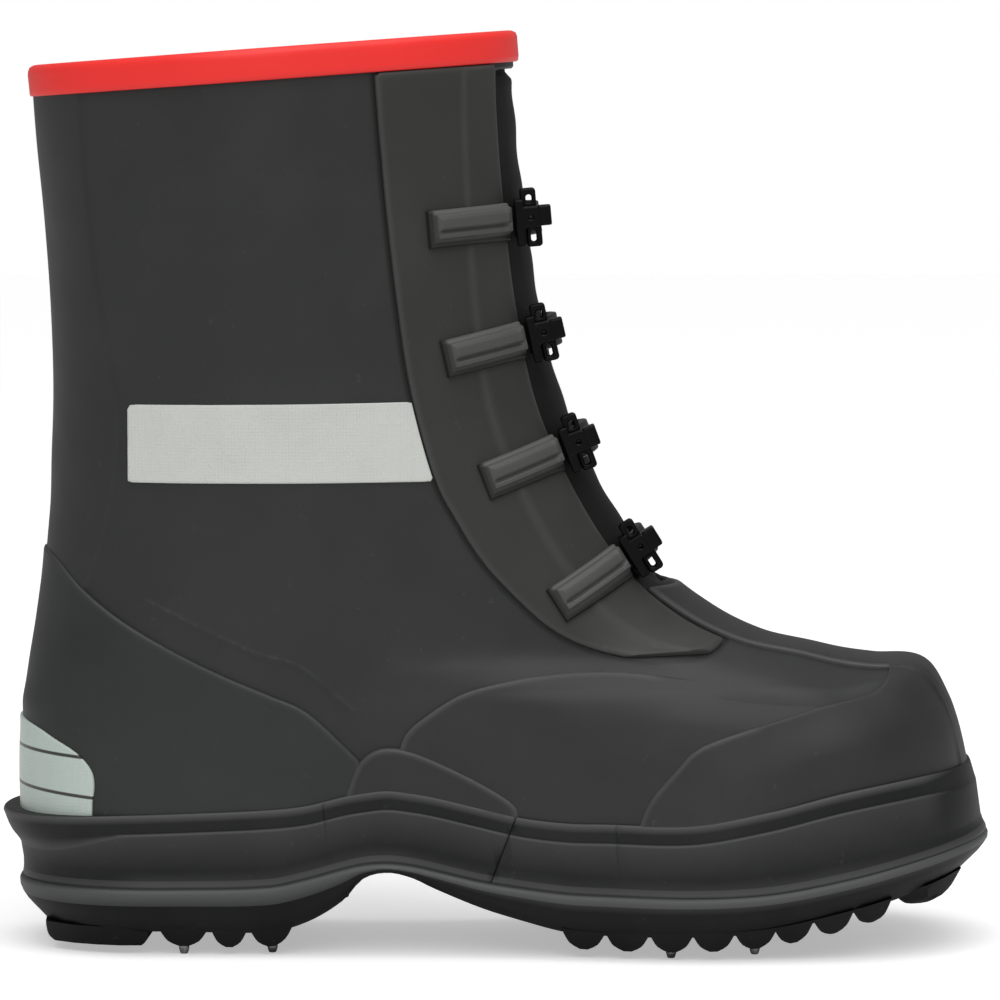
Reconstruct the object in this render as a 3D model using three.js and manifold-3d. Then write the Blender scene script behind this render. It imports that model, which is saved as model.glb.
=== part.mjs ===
// A rubber winter overshoe for the right foot: a studded outsole, foxing, a hollow
// upper with a gusset in its front opening, laid-on rubber panels, a collar binding
// and four buckles. Millimetres, toe towards +X, inner side towards +Y, +Z up.
import * as THREE from "three";
import { mergeVertices } from "three/addons/utils/BufferGeometryUtils.js";
import Module from "manifold-3d";

const wasm = await Module();
wasm.setup();

// Sizes of the whole shoe
const LENGTH = 330;
const COLLAR_HEIGHT = 300;
const BALL_WIDTH = 116;
const TOE_SWING = 7;

// Thicknesses of the rubber pieces, and the gap between laid pieces
const GAP = 0.3;
const WALL = 2.4;
const PANEL = 1.2;
const VAMP_PANEL = 1.0;
const SHANK_PATCH = 1.8;
const TOE_CAP = 2.1;
const FOXING = 3.2;
const FOXING_STEP = 0.9;
const STEP_HEIGHT = 6.5;
const KICK_LEDGE = 4.6;
const LEDGE_SLOPE = 5.2;
const FLARE = 1.8;
const FLARE_HEIGHT = 4.5;
const FLAP_EDGE = 1.2;
const BINDING = 1.4;
const BINDING_HEIGHT = 9;
const REFLECTOR = 0.6;
const GUSSET = 1.8;
const INSOLE = 4;

// Outsole
const RIM_REACH = 6.2;
const HEEL_RIM_INSET = 3.1;
const DECK_RISE = 1.5;
const LUG_DEPTH = 5;
const LUG_GROOVE = 3;
const LUG_TIP = 0.5;
const STUD_REACH = 3;
const STUD_RADIUS = 1.7;
const STUD_TIP = 0.75;
const STUD_SIDES = 8;
const STUD_SEAT = 3;
const STUD_LEVEL = 0.5;

// Buckles
const TAB_LENGTH = 27;
const TAB_WIDTH = 12.5;
const TAB_THICKNESS = 2.2;
const LADDER_WIDTH = 11;
const LADDER_THICKNESS = 2.6;
const LADDER_SLOT = 5;
const LADDER_PITCH = 8.4;
const TOGGLE_WIDTH = 10;
const TOGGLE_REACH = 7.4;

// How finely the curved skin is divided
const COLUMNS = 36;
const SOLE_COLUMNS = 44;
const FINE = 90;

const table = (columns, rows) =>
  rows.map((row) => Object.fromEntries(columns.map((name, i) => [name, row[i]])));

// Closed sections of the upper, from the feather line to the collar. Each one runs from a
// point on the front line to a point on the back line. Lengths are shares of LENGTH, rises
// are shares of COLLAR_HEIGHT, half widths are shares of BALL_WIDTH, "follow" says how much
// of the sole's arch and toe spring the section keeps, and "square" how blunt its ends are.
const SECTIONS = table(
  ["toe", "toeUp", "heel", "heelUp", "follow", "seat", "waist", "ball", "toeEnd", "heelEnd", "square"],
  [
    [0.988, -0.014, 0.033, -0.014, 1.0, 0.353, 0.345, 0.491, 0.188, 0.133, 2.3],
    [0.988, 0.028, 0.0235, 0.053, 1.0, 0.366, 0.366, 0.5, 0.188, 0.133, 2.3],
    [0.982, 0.085, 0.0213, 0.108, 0.9, 0.369, 0.379, 0.497, 0.182, 0.136, 2.3],
    [0.971, 0.147, 0.0213, 0.157, 0.75, 0.367, 0.39, 0.483, 0.176, 0.136, 2.3],
    [0.9585, 0.21, 0.0221, 0.197, 0.55, 0.365, 0.397, 0.459, 0.17, 0.136, 2.25],
    [0.936, 0.27, 0.0222, 0.23, 0.35, 0.362, 0.401, 0.429, 0.164, 0.136, 2.2],
    [0.897, 0.298, 0.0222, 0.258, 0.2, 0.36, 0.403, 0.397, 0.164, 0.139, 2.15],
    [0.839, 0.322, 0.0255, 0.287, 0.1, 0.36, 0.405, 0.366, 0.17, 0.142, 2.1],
    [0.776, 0.345, 0.0294, 0.323, 0.0, 0.362, 0.407, 0.353, 0.188, 0.145, 2.05],
    [0.721, 0.3745, 0.0364, 0.37, 0.0, 0.367, 0.41, 0.358, 0.2, 0.152, 2.0],
    [0.665, 0.425, 0.0434, 0.43, 0.0, 0.379, 0.421, 0.371, 0.206, 0.161, 2.0],
    [0.614, 0.51, 0.0475, 0.507, 0.0, 0.401, 0.438, 0.391, 0.218, 0.173, 2.0],
    [0.573, 0.61, 0.0521, 0.61, 0.0, 0.431, 0.462, 0.419, 0.23, 0.185, 2.0],
    [0.548, 0.72, 0.0501, 0.713, 0.0, 0.457, 0.486, 0.448, 0.239, 0.197, 2.0],
    [0.532, 0.833, 0.0441, 0.813, 0.0, 0.474, 0.505, 0.467, 0.245, 0.206, 2.0],
    [0.522, 0.937, 0.0366, 0.9, 0.0, 0.486, 0.517, 0.479, 0.248, 0.212, 2.0],
    [0.5185, 1.017, 0.0316, 0.978, 0.0, 0.491, 0.524, 0.484, 0.248, 0.215, 2.0],
  ],
);
const TOP = SECTIONS.length - 1;

// Side line of the sole: its underside, its rim and the top of the foxing, above the floor.
const SOLE_LINE = table(
  ["along", "under", "rim", "foxing"],
  [
    [0.0, 0.03, 0.073, 0.153],
    [0.1, 0.0265, 0.073, 0.157],
    [0.18, 0.0265, 0.073, 0.16],
    [0.273, 0.0265, 0.076, 0.165],
    [0.312, 0.038, 0.085, 0.17],
    [0.348, 0.062, 0.096, 0.18],
    [0.368, 0.086, 0.101, 0.184],
    [0.393, 0.093, 0.103, 0.187],
    [0.418, 0.087, 0.1, 0.184],
    [0.439, 0.076, 0.095, 0.18],
    [0.485, 0.055, 0.083, 0.168],
    [0.527, 0.041, 0.076, 0.158],
    [0.573, 0.029, 0.071, 0.153],
    [0.61, 0.0265, 0.07, 0.153],
    [0.697, 0.0265, 0.069, 0.153],
    [0.773, 0.032, 0.073, 0.167],
    [0.848, 0.049, 0.087, 0.187],
    [0.924, 0.07, 0.105, 0.2],
    [1.0, 0.093, 0.123, 0.207],
  ],
);

// Edges of the laid panels as they show from the side.
const EDGE = ["along", "up"];
const FACING_BACK = table(EDGE, [
  [0.38, 1.0],
  [0.392, 0.838],
  [0.407, 0.696],
  [0.419, 0.619],
  [0.441, 0.531],
  [0.461, 0.487],
  [0.486, 0.443],
  [0.516, 0.405],
  [0.556, 0.365],
  [0.596, 0.343],
  [0.646, 0.331],
  [0.697, 0.332],
  [0.722, 0.34],
  [0.735, 0.353],
  [0.73, 0.373],
]);
const COUNTER_TOP = table(EDGE, [
  [0.0, 0.462],
  [0.045, 0.445],
  [0.086, 0.404],
  [0.122, 0.375],
  [0.164, 0.348],
  [0.2, 0.327],
  [0.235, 0.309],
  [0.275, 0.291],
  [0.315, 0.271],
  [0.366, 0.219],
]);
const SHANK_TOP = table(EDGE, [
  [0.35, 0.12],
  [0.35, 0.17],
  [0.355, 0.193],
  [0.366, 0.219],
  [0.386, 0.233],
  [0.414, 0.231],
  [0.451, 0.215],
  [0.494, 0.191],
  [0.52, 0.172],
  [0.525, 0.158],
]);
const VAMP_TOP = table(EDGE, [
  [0.405, 0.232],
  [0.412, 0.25],
  [0.429, 0.267],
  [0.468, 0.294],
  [0.516, 0.308],
  [0.559, 0.315],
  [0.603, 0.317],
  [0.645, 0.315],
  [0.727, 0.306],
  [0.803, 0.299],
  [0.893, 0.3],
]);
const CAP_EDGE = table(EDGE, [
  [0.644, 0.15],
  [0.656, 0.18],
  [0.684, 0.216],
  [0.698, 0.232],
  [0.725, 0.246],
  [0.806, 0.274],
  [0.858, 0.289],
  [0.893, 0.303],
  [0.907, 0.345],
]);
const SIDE_REFLECTOR = table(EDGE, [
  [0.133, 0.612],
  [0.44, 0.616],
  [0.463, 0.528],
  [0.133, 0.526],
]);
const HEEL_REFLECTOR = table(EDGE, [
  [0.0, 0.262],
  [0.035, 0.25],
  [0.056, 0.239],
  [0.074, 0.229],
  [0.087, 0.218],
  [0.096, 0.204],
  [0.098, 0.188],
  [0.096, 0.172],
]);

// Where each buckle's tab ends at the front opening, and how steeply it climbs.
const BUCKLES = table(
  ["along", "up", "tilt"],
  [
    [0.518, 0.812, 5],
    [0.532, 0.682, 13],
    [0.568, 0.558, 20.5],
    [0.633, 0.438, 32],
  ],
);

// Half width of the front opening at sections of the upper, as a share of BALL_WIDTH.
const OPENING = table(
  ["section", "half"],
  [
    [8, 0.215],
    [9, 0.207],
    [10, 0.2],
    [11, 0.203],
    [12, 0.209],
    [13, 0.207],
    [14, 0.2],
    [16, 0.185],
  ],
);
const OPENING_FOOT = 9.75;
const STRIP_HALF = 0.195;

// Lug rows under heel and forefoot: place along the sole, length of a lug, and how many stand across.
const LUG_ROWS = table(
  ["along", "length", "across"],
  [
    [0.187, 0.046, 4],
    [0.233, 0.034, 4],
    [0.276, 0.042, 3],
    [0.59, 0.042, 4],
    [0.634, 0.042, 4],
    [0.678, 0.042, 4],
    [0.72, 0.041, 4],
    [0.762, 0.041, 4],
    [0.8, 0.038, 4],
    [0.84, 0.039, 4],
    [0.879, 0.038, 3],
    [0.937, 0.066, 2],
  ],
);
const HEEL_BLOCK = { from: 0.045, to: 0.154 };

// Studs: lug row, and which lug across from the outer side.
const STUDS = table(
  ["row", "lug"],
  [
    [0, 0],
    [0, 3],
    [2, 0],
    [2, 2],
    [5, 0],
    [5, 3],
    [7, 0],
    [7, 3],
  ],
);
const HEEL_STUDS = [-0.12, 0.12];

const clamp = THREE.MathUtils.clamp;
const lerp = THREE.MathUtils.lerp;
const ease = (from, to, x) => THREE.MathUtils.smoothstep(x, from, to);
const xOf = (along) => (along - 0.5) * LENGTH;
const zOf = (up) => up * COLLAR_HEIGHT;
const shareOf = (x) => x / LENGTH + 0.5;

// A smooth curve through the rows of a table, read at a place between two rows.
function blend(rows, column, keys, place) {
  const last = rows.length - 1;
  let i = 0;
  while (i < last - 1 && place > keys(i + 1)) i += 1;
  const value = (k) => rows[clamp(k, 0, last)][column];
  const key = (k) => keys(clamp(k, 0, last));
  const slope = (k) => {
    const span = key(k + 1) - key(k - 1);
    return (value(k + 1) - value(k - 1)) / span;
  };
  const span = key(i + 1) - key(i);
  const f = (place - key(i)) / span;
  const a = value(i);
  const b = value(i + 1);
  const m = slope(i) * span;
  const n = slope(i + 1) * span;
  const f2 = f * f;
  const f3 = f2 * f;
  return (2 * f3 - 3 * f2 + 1) * a + (f3 - 2 * f2 + f) * m + (3 * f2 - 2 * f3) * b + (f3 - f2) * n;
}

const soleLine = (column, x) =>
  zOf(blend(SOLE_LINE, column, (i) => SOLE_LINE[i].along, clamp(shareOf(x), 0, 1)));
const deck = (x) => soleLine("rim", x) + DECK_RISE;
const section = (column, t) => blend(SECTIONS, column, (i) => i, t);
const openingHalf = (t) =>
  BALL_WIDTH * blend(OPENING, "half", (i) => OPENING[i].section, clamp(t, 8, 16));

// Height of a section at a place along the shoe.
function sectionHeight(t, x) {
  const toe = xOf(section("toe", t));
  const heel = xOf(section("heel", t));
  const f = (x - heel) / (toe - heel);
  const rise = zOf(lerp(section("heelUp", t), section("toeUp", t), f));
  return rise + section("follow", t) * (deck(x) + GAP);
}

// Rounds off the end of a section: 0 at the end, 1 where the side begins.
const endRound = (reach, square) =>
  reach >= 1 ? 1 : (1 - (1 - Math.max(reach, 0)) ** square) ** (1 / square);

// One point of a section, on the outer side (-1) or the inner side (1), turning from toe (0) to heel (PI).
function sectionPoint(t, side, turn) {
  const toe = xOf(section("toe", t));
  const heel = xOf(section("heel", t));
  const x = (toe + heel) / 2 + ((toe - heel) / 2) * Math.cos(turn);
  const f = (x - heel) / (toe - heel);
  const seatToWaist = lerp(section("seat", t), section("waist", t), ease(0.17, 0.45, f));
  const half = BALL_WIDTH * lerp(seatToWaist, section("ball", t), ease(0.45, 0.74, f));
  const square = section("square", t);
  const toeRound = endRound((toe - x) / (LENGTH * section("toeEnd", t)), square);
  const heelRound = endRound((x - heel) / (LENGTH * section("heelEnd", t)), square);
  const swing = TOE_SWING * (ease(-0.05, 0.5, x / LENGTH) - 0.45 * ease(-0.45, -0.05, x / LENGTH));
  const centre = swing * section("follow", t);
  return new THREE.Vector3(x, centre + side * half * toeRound * heelRound, sectionHeight(t, x));
}

// A section's side as a fine line with its running length.
const sideLines = new Map();
function sideLine(t, side) {
  const key = `${t} ${side}`;
  if (!sideLines.has(key)) {
    const points = [];
    for (let k = 0; k <= FINE; k++) points.push(sectionPoint(t, side, (Math.PI * k) / FINE));
    const run = [0];
    for (let k = 1; k <= FINE; k++) run.push(run[k - 1] + points[k].distanceTo(points[k - 1]));
    sideLines.set(key, { points, run });
  }
  return sideLines.get(key);
}

function pointWhere(line, values, wanted) {
  let k = 1;
  while (k < values.length - 1 && values[k] < wanted) k += 1;
  const f = (wanted - values[k - 1]) / (values[k] - values[k - 1]);
  return line[k - 1].clone().lerp(line[k], f);
}

// A point of the skin: t counts sections, s runs from -1 at the heel over the outer side
// to 0 at the front and over the inner side to 1 at the heel.
function skinPoint(t, s) {
  const wrapped = s > 1 ? s - 2 : s < -1 ? s + 2 : s;
  const { points, run } = sideLine(t, wrapped < 0 ? -1 : 1);
  return pointWhere(points, run, Math.abs(wrapped) * run[FINE]);
}

// A point of the skin at a distance across from the front line.
function frontPoint(t, y) {
  const { points } = sideLine(t, y < 0 ? -1 : 1);
  const middle = points[0].y;
  const across = points.slice(0, FINE / 2).map((p) => Math.abs(p.y - middle));
  return pointWhere(points, across, Math.abs(y));
}

// The same point, lifted off the skin along its normal.
function lifted(pointAt, t, u, step, lift) {
  const low = Math.max(t - 0.05, 0);
  const high = Math.min(t + 0.05, TOP);
  const across = pointAt(t, u + step).sub(pointAt(t, u - step));
  const up = pointAt(high, u).sub(pointAt(low, u));
  const normal = across.cross(up).normalize();
  return pointAt(t, u).addScaledVector(normal, lift);
}
const skin = (t, s, lift) => lifted(skinPoint, t, s, 0.01, lift);

// Sections used for meshing, closer together where the toe turns over, and at the binding's edge
const BAND = TOP - BINDING_HEIGHT / zOf(section("toeUp", TOP) - section("toeUp", TOP - 1));
const TURNS = [0, 1, 2, 3, 4, 5, 6, 7, 8, 9, 10, 11, 12.3, 13.8, BAND, TOP];

// A lifted point of the faceted skin, which is straight from one section of TURNS to the next.
// What lies on the shells is drawn with it, so that it stays parallel to them.
function onFacets(pointAt, t, u, step, lift) {
  const i = clamp(TURNS.findLastIndex((turn) => turn <= t), 0, TURNS.length - 2);
  const f = (t - TURNS[i]) / (TURNS[i + 1] - TURNS[i]);
  const below = lifted(pointAt, TURNS[i], u, step, lift);
  return below.lerp(lifted(pointAt, TURNS[i + 1], u, step, lift), f);
}
const facet = (t, s, lift) => onFacets(skinPoint, t, s, 0.01, lift);
const front = (t, y, lift) => onFacets(frontPoint, t, y, 0.6, lift);

// Columns round the shoe, closer together at toe and heel.
const evenColumns = Array.from({ length: COLUMNS }, (_, j) => (2 * j) / COLUMNS - 1);
const SKIN_COLUMNS = evenColumns.map((s) => s - (0.5 / (2 * Math.PI)) * Math.sin(2 * Math.PI * s));

// A closed mesh as a manifold solid, turned to face outwards.
function solidOf(points, triangles) {
  const vertProperties = new Float32Array(points.flatMap((p) => [p.x, p.y, p.z]));
  const make = (faces) =>
    new wasm.Manifold(
      new wasm.Mesh({ numProp: 3, vertProperties, triVerts: new Uint32Array(faces.flat()) }),
    );
  const made = make(triangles);
  return made.volume() > 0 ? made : make(triangles.map(([a, b, c]) => [a, c, b]));
}

function solidOfGeometry(geometry) {
  const plain = geometry.clone();
  plain.deleteAttribute("normal");
  plain.deleteAttribute("uv");
  const merged = mergeVertices(plain, 1e-3);
  const p = merged.attributes.position;
  const points = Array.from({ length: p.count }, (_, i) => new THREE.Vector3().fromBufferAttribute(p, i));
  const faces = [];
  for (let i = 0; i < merged.index.count; i += 3) {
    faces.push([0, 1, 2].map((k) => merged.index.getX(i + k)));
  }
  return solidOf(points, faces);
}

// Joins closed loops of points into a solid: round in a ring, or capped at both ends.
function loft(loops, ring) {
  const n = loops[0].length;
  const points = loops.flat();
  const faces = [];
  const spans = ring ? loops.length : loops.length - 1;
  for (let i = 0; i < spans; i++) {
    const here = i * n;
    const next = ((i + 1) % loops.length) * n;
    for (let j = 0; j < n; j++) {
      const k = (j + 1) % n;
      faces.push([here + j, here + k, next + k], [here + j, next + k, next + j]);
    }
  }
  if (!ring) {
    const last = (loops.length - 1) * n;
    const cap = (start, a, b, c) => faces.push(start ? [start + a, start + c, start + b] : [a, b, c]);
    for (const start of [0, last]) {
      for (let low = 0, high = n - 1; high - low > 1; ) {
        cap(start, low, high, low + 1);
        low += 1;
        if (high - low > 1) cap(start, low, high, high - 1);
        high -= 1;
      }
    }
  }
  return solidOf(points, faces);
}

// A shell that follows the skin between two lifts.
function shell(inner, outer, from = 0, to = TOP) {
  const rows = TURNS.filter((t) => t >= from && t <= to);
  const n = rows.length;
  const points = SKIN_COLUMNS.flatMap((s) => [
    ...rows.map((t) => skin(t, s, outer)),
    ...rows.map((t) => skin(t, s, inner)),
  ]);
  const faces = [];
  SKIN_COLUMNS.forEach((_, i) => {
    const here = i * 2 * n;
    const next = ((i + 1) % COLUMNS) * 2 * n;
    for (let j = 0; j < n - 1; j++) {
      faces.push([here + j, next + j, next + j + 1], [here + j, next + j + 1, here + j + 1]);
      const a = here + n + j;
      const b = next + n + j;
      faces.push([a, b + 1, b], [a, a + 1, b + 1]);
    }
    for (const [j, k] of [
      [n - 1, 2 * n - 1],
      [n, 0],
    ]) {
      faces.push([here + j, next + j, next + k], [here + j, next + k, here + k]);
    }
  });
  return solidOf(points, faces);
}

// The whole form inside a lift, closed at its ends.
const form = (lift, to = TOP) =>
  loft(TURNS.filter((t) => t <= to).map((t) => SKIN_COLUMNS.map((s) => skin(t, s, lift))), false);

// Points in the side view, from rows of shares
const sidePoints = (rows) => rows.map((r) => new THREE.Vector2(xOf(r.along), zOf(r.up)));
const smoothed = (rows, steps) => new THREE.SplineCurve(sidePoints(rows)).getPoints(steps);

// A side-view outline, extruded across the shoe.
function prism(outline, from = -BALL_WIDTH, to = BALL_WIDTH) {
  const geometry = new THREE.ExtrudeGeometry(new THREE.Shape(outline), {
    depth: to - from,
    bevelEnabled: false,
  });
  geometry.rotateX(Math.PI / 2).translate(0, to, 0);
  return solidOfGeometry(geometry);
}

// An outline moved outwards by a distance, or inwards where the distance is negative.
function grown(outline, distance) {
  const turn = THREE.ShapeUtils.isClockWise(outline) ? -1 : 1;
  return outline.map((p, i) => {
    const before = outline.at(i - 1);
    const after = outline[(i + 1) % outline.length];
    const a = p.clone().sub(before).normalize();
    const b = after.clone().sub(p).normalize();
    const along = a.add(b).normalize();
    return new THREE.Vector2(p.x + along.y * distance * turn, p.y - along.x * distance * turn);
  });
}

const soleAlong = (from, to, steps, height) =>
  Array.from({ length: steps + 1 }, (_, i) => {
    const x = lerp(from, to, i / steps);
    return new THREE.Vector2(x, height(x));
  });
const foxingTop = (x) => soleLine("foxing", x);
const BAR_OUT = BALL_WIDTH * 0.1;
const BAR_IN = BALL_WIDTH * 0.12;
const OUTSIDE = LENGTH * 0.53;
const DECK_STEPS = 24;
const FOXING_STEPS = 16;
const ABOVE = COLLAR_HEIGHT * 1.1;
const BELOW = -COLLAR_HEIGHT * 0.1;

// The lowest ring of the skin in plan, moved out by a distance, with a height for each place.
// The sole stands out less behind the heel.
function planRing(out, height, columns = SOLE_COLUMNS) {
  const places = Array.from({ length: columns }, (_, j) => (2 * j) / columns - 1);
  return places.map((s) => {
    const across = skinPoint(1, s + 0.01).sub(skinPoint(1, s - 0.01));
    const normal = new THREE.Vector2(across.y, -across.x).normalize();
    const p = skinPoint(1, s);
    const reach = out - HEEL_RIM_INSET * Math.max(0, -normal.x) ** 2;
    const x = p.x + normal.x * reach;
    return new THREE.Vector3(x, p.y + normal.y * reach, height(x));
  });
}

// What lies below the deck of the outsole, or above it.
const underDeck = (rise) =>
  prism([
    ...soleAlong(-OUTSIDE, OUTSIDE, DECK_STEPS, (x) => deck(x) + rise),
    new THREE.Vector2(OUTSIDE, BELOW),
    new THREE.Vector2(-OUTSIDE, BELOW),
  ]);

// Half width of the sole at a place along it, on the outer (-1) or inner (1) side.
function soleReach(x, side) {
  const { points } = sideLine(1, side);
  const fromToe = points.map((p) => -p.x);
  return pointWhere(points, fromToe, -x).y;
}

// Outsole
const lugCentre = (row, lug) => {
  const { along, across } = LUG_ROWS[row];
  const x = xOf(along);
  const low = soleReach(x, -1);
  const high = soleReach(x, 1);
  const pitch = (high - low + RIM_REACH) / across;
  return { x, y: (low + high) / 2 + (lug - (across - 1) / 2) * pitch, width: pitch - LUG_GROOVE };
};

// A block that narrows to its tip, hanging from the underside of the sole and following its slope.
function lugBlock(x, y, length, width) {
  const ring = (share, rise) =>
    [
      [-1, -1],
      [1, -1],
      [1, 1],
      [-1, 1],
    ].map(([a, b]) => {
      const place = x + (a * length * share) / 2;
      const halfWidth = width / 2 - (length / 2) * (1 - share);
      return new THREE.Vector3(place, y + b * halfWidth, soleLine("under", place) + rise);
    });
  const rootShare = 1 + ((1 - LUG_TIP) * DECK_RISE) / LUG_DEPTH;
  return loft([ring(rootShare, DECK_RISE), ring(LUG_TIP, -LUG_DEPTH)], false);
}

function heelBlock() {
  const from = xOf(HEEL_BLOCK.from);
  const to = xOf(HEEL_BLOCK.to);
  const under = soleLine("under", from);
  const box = [
    [from, under - LUG_DEPTH],
    [to, under - LUG_DEPTH],
    [to + 1, under + 2],
    [from - 4, under + 2],
  ].map(([x, z]) => new THREE.Vector2(x, z));
  return prism(box);
}

const studPlaces = [
  ...STUDS.map(({ row, lug }) => lugCentre(row, lug)),
  ...HEEL_STUDS.map((share) => ({ x: xOf((HEEL_BLOCK.from + HEEL_BLOCK.to) / 2), y: share * BALL_WIDTH })),
];
const FLOOR = zOf(Math.min(...SOLE_LINE.map((row) => row.under))) - LUG_DEPTH - STUD_REACH;
const studRoot = (x) => soleLine("under", x) - LUG_DEPTH + STUD_SEAT;

// Studs stand on the floor, except where the toe spring lifts their lugs off it.
function studTip(x) {
  const tip = soleLine("under", x) - LUG_DEPTH - STUD_REACH;
  return tip - FLOOR < STUD_LEVEL ? FLOOR : tip;
}

function outsole() {
  const rim = (x) => soleLine("rim", x);
  const under = (x) => soleLine("under", x);
  const between = (share) => (x) => lerp(rim(x), under(x), share);
  let solid = loft(
    [
      planRing(RIM_REACH - 1.5, (x) => deck(x) + 1),
      planRing(RIM_REACH, rim),
      planRing(RIM_REACH - 0.9, between(0.3)),
      planRing(RIM_REACH - 3.6, between(0.57)),
      planRing(-2.2, under),
    ],
    false,
  ).intersect(underDeck(0));
  const footprint = loft([planRing(-5, () => FLOOR), planRing(RIM_REACH - 2.2, rim)], false);
  let lugs = heelBlock();
  LUG_ROWS.forEach(({ length, across }, row) => {
    for (let lug = 0; lug < across; lug++) {
      const { x, y, width } = lugCentre(row, lug);
      lugs = lugs.add(lugBlock(x, y, length * LENGTH, width));
    }
  });
  solid = solid.add(lugs.intersect(footprint));
  for (const { x, y } of studPlaces) {
    const ring = studRing(x, y, STUD_RADIUS + GAP);
    solid = solid.subtract(loft([ring(FLOOR), ring(studRoot(x) + GAP)], false));
  }
  return solid;
}

const studRing = (x, y, radius) => (z, share = 1) =>
  Array.from({ length: STUD_SIDES }, (_, i) => {
    const turn = (2 * Math.PI * i) / STUD_SIDES;
    return new THREE.Vector3(x + radius * share * Math.cos(turn), y + radius * share * Math.sin(turn), z);
  });

// A stud with a flat tip and its root in a lug.
const stud = ({ x, y }) => {
  const ring = studRing(x, y, STUD_RADIUS);
  const tip = studTip(x);
  return loft([ring(tip, STUD_TIP), ring(tip + STUD_REACH * 0.55), ring(studRoot(x))], false);
};

const insole = () =>
  form(-(WALL + GAP), 3).intersect(
    prism([
      ...soleAlong(-OUTSIDE, OUTSIDE, DECK_STEPS, (x) => deck(x) + GAP),
      ...soleAlong(OUTSIDE, -OUTSIDE, DECK_STEPS, (x) => deck(x) + GAP + INSOLE),
    ]),
  );

// A bar that follows the front line, with parallel sides: it cuts the opening and parts the facings.
function frontBand(halfAt, from, to) {
  const steps = Math.ceil((to - from) * 2);
  const loops = [];
  for (let i = 0; i <= steps; i++) {
    const t = lerp(from, to, i / steps);
    const half = halfAt(t);
    const middle = front(t, 0, 0);
    const out = front(t, 0, 1).sub(middle);
    const side = (y, reach) => frontPoint(t, y).addScaledVector(out, reach);
    loops.push([
      side(-half, BAR_OUT),
      side(0, BAR_OUT),
      side(half, BAR_OUT),
      side(half, -BAR_IN),
      side(0, -BAR_IN),
      side(-half, -BAR_IN),
    ]);
  }
  return loft(loops, false);
}

// Rounded foot of the opening, and its full width above.
const openingAt = (margin) => (t) => {
  const reach = clamp((t - OPENING_FOOT) / 0.6, 0, 1);
  return openingHalf(t) * (0.45 + 0.55 * Math.sqrt(reach)) + margin;
};

const trim = underDeck(GAP);
const OPENING_HEAD = BAND - 0.1;

function upper() {
  const opening = frontBand(openingAt(0), OPENING_FOOT, OPENING_HEAD);
  return shell(-WALL, 0).subtract(opening).subtract(trim);
}

// Folded gusset behind the opening: it lies under the flaps and swells out between them.
const GUSSET_FOLD = table(
  ["across", "swell"],
  [
    [-1.28, 0],
    [-1.04, 0],
    [-0.88, 0.35],
    [-0.6, 0.95],
    [-0.16, 0.9],
    [0, 0.15],
    [0.16, 0.9],
    [0.6, 0.95],
    [0.88, 0.35],
    [1.04, 0],
    [1.28, 0],
  ],
);

function gusset() {
  const low = OPENING_FOOT - 0.3;
  const high = BAND - 0.04;
  const inside = TURNS.filter((t) => t > low && t < high);
  const halfway = inside.map((t, i) => (t + (inside[i + 1] ?? high)) / 2);
  const stations = [low, OPENING_FOOT, ...inside, ...halfway, high].sort((a, b) => a - b);
  const loops = stations.map((t) => {
    const swellHere = ease(OPENING_FOOT + 0.05, OPENING_FOOT + 0.5, t) * (1 - ease(high - 0.55, high - 0.15, t));
    const half = openingAt(0)(t);
    const row = (depth) =>
      GUSSET_FOLD.map(({ across, swell }) =>
        front(t, across * half, -WALL - GAP * 1.8 - depth + swell * swellHere * (WALL + GAP)),
      );
    return [...row(0), ...row(GUSSET).toReversed()];
  });
  return loft(loops, false);
}

// Panels laid on the upper
const cutToBinding = () => {
  const lowHeel = xOf(-0.1);
  const lowToe = xOf(1.1);
  const edge = (x) => sectionHeight(BAND, x) - GAP;
  return prism([
    new THREE.Vector2(lowHeel, edge(lowHeel)),
    new THREE.Vector2(lowToe, edge(lowToe)),
    new THREE.Vector2(lowToe, ABOVE),
    new THREE.Vector2(lowHeel, ABOVE),
  ]);
};

const facingOutline = [
  ...smoothed(FACING_BACK, 20),
  new THREE.Vector2(xOf(0.74), zOf(0.5)),
  new THREE.Vector2(xOf(0.62), zOf(1.05)),
];
const capOutline = [
  ...smoothed(CAP_EDGE, 14),
  new THREE.Vector2(xOf(0.907), zOf(0.6)),
  new THREE.Vector2(OUTSIDE, zOf(0.6)),
  new THREE.Vector2(OUTSIDE, BELOW),
  new THREE.Vector2(xOf(0.644), BELOW),
];
const shankOutline = [
  ...smoothed(SHANK_TOP, 15),
  ...soleAlong(xOf(0.525), xOf(0.35), 8, () => BELOW),
];
const counterOutline = [
  ...smoothed(COUNTER_TOP, 11),
  new THREE.Vector2(xOf(0.366), BELOW),
  new THREE.Vector2(-OUTSIDE, BELOW),
  new THREE.Vector2(-OUTSIDE, zOf(0.462)),
];
const vampOutline = [
  ...smoothed(VAMP_TOP, 14),
  new THREE.Vector2(xOf(0.893), BELOW),
  new THREE.Vector2(xOf(0.405), BELOW),
];

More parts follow.
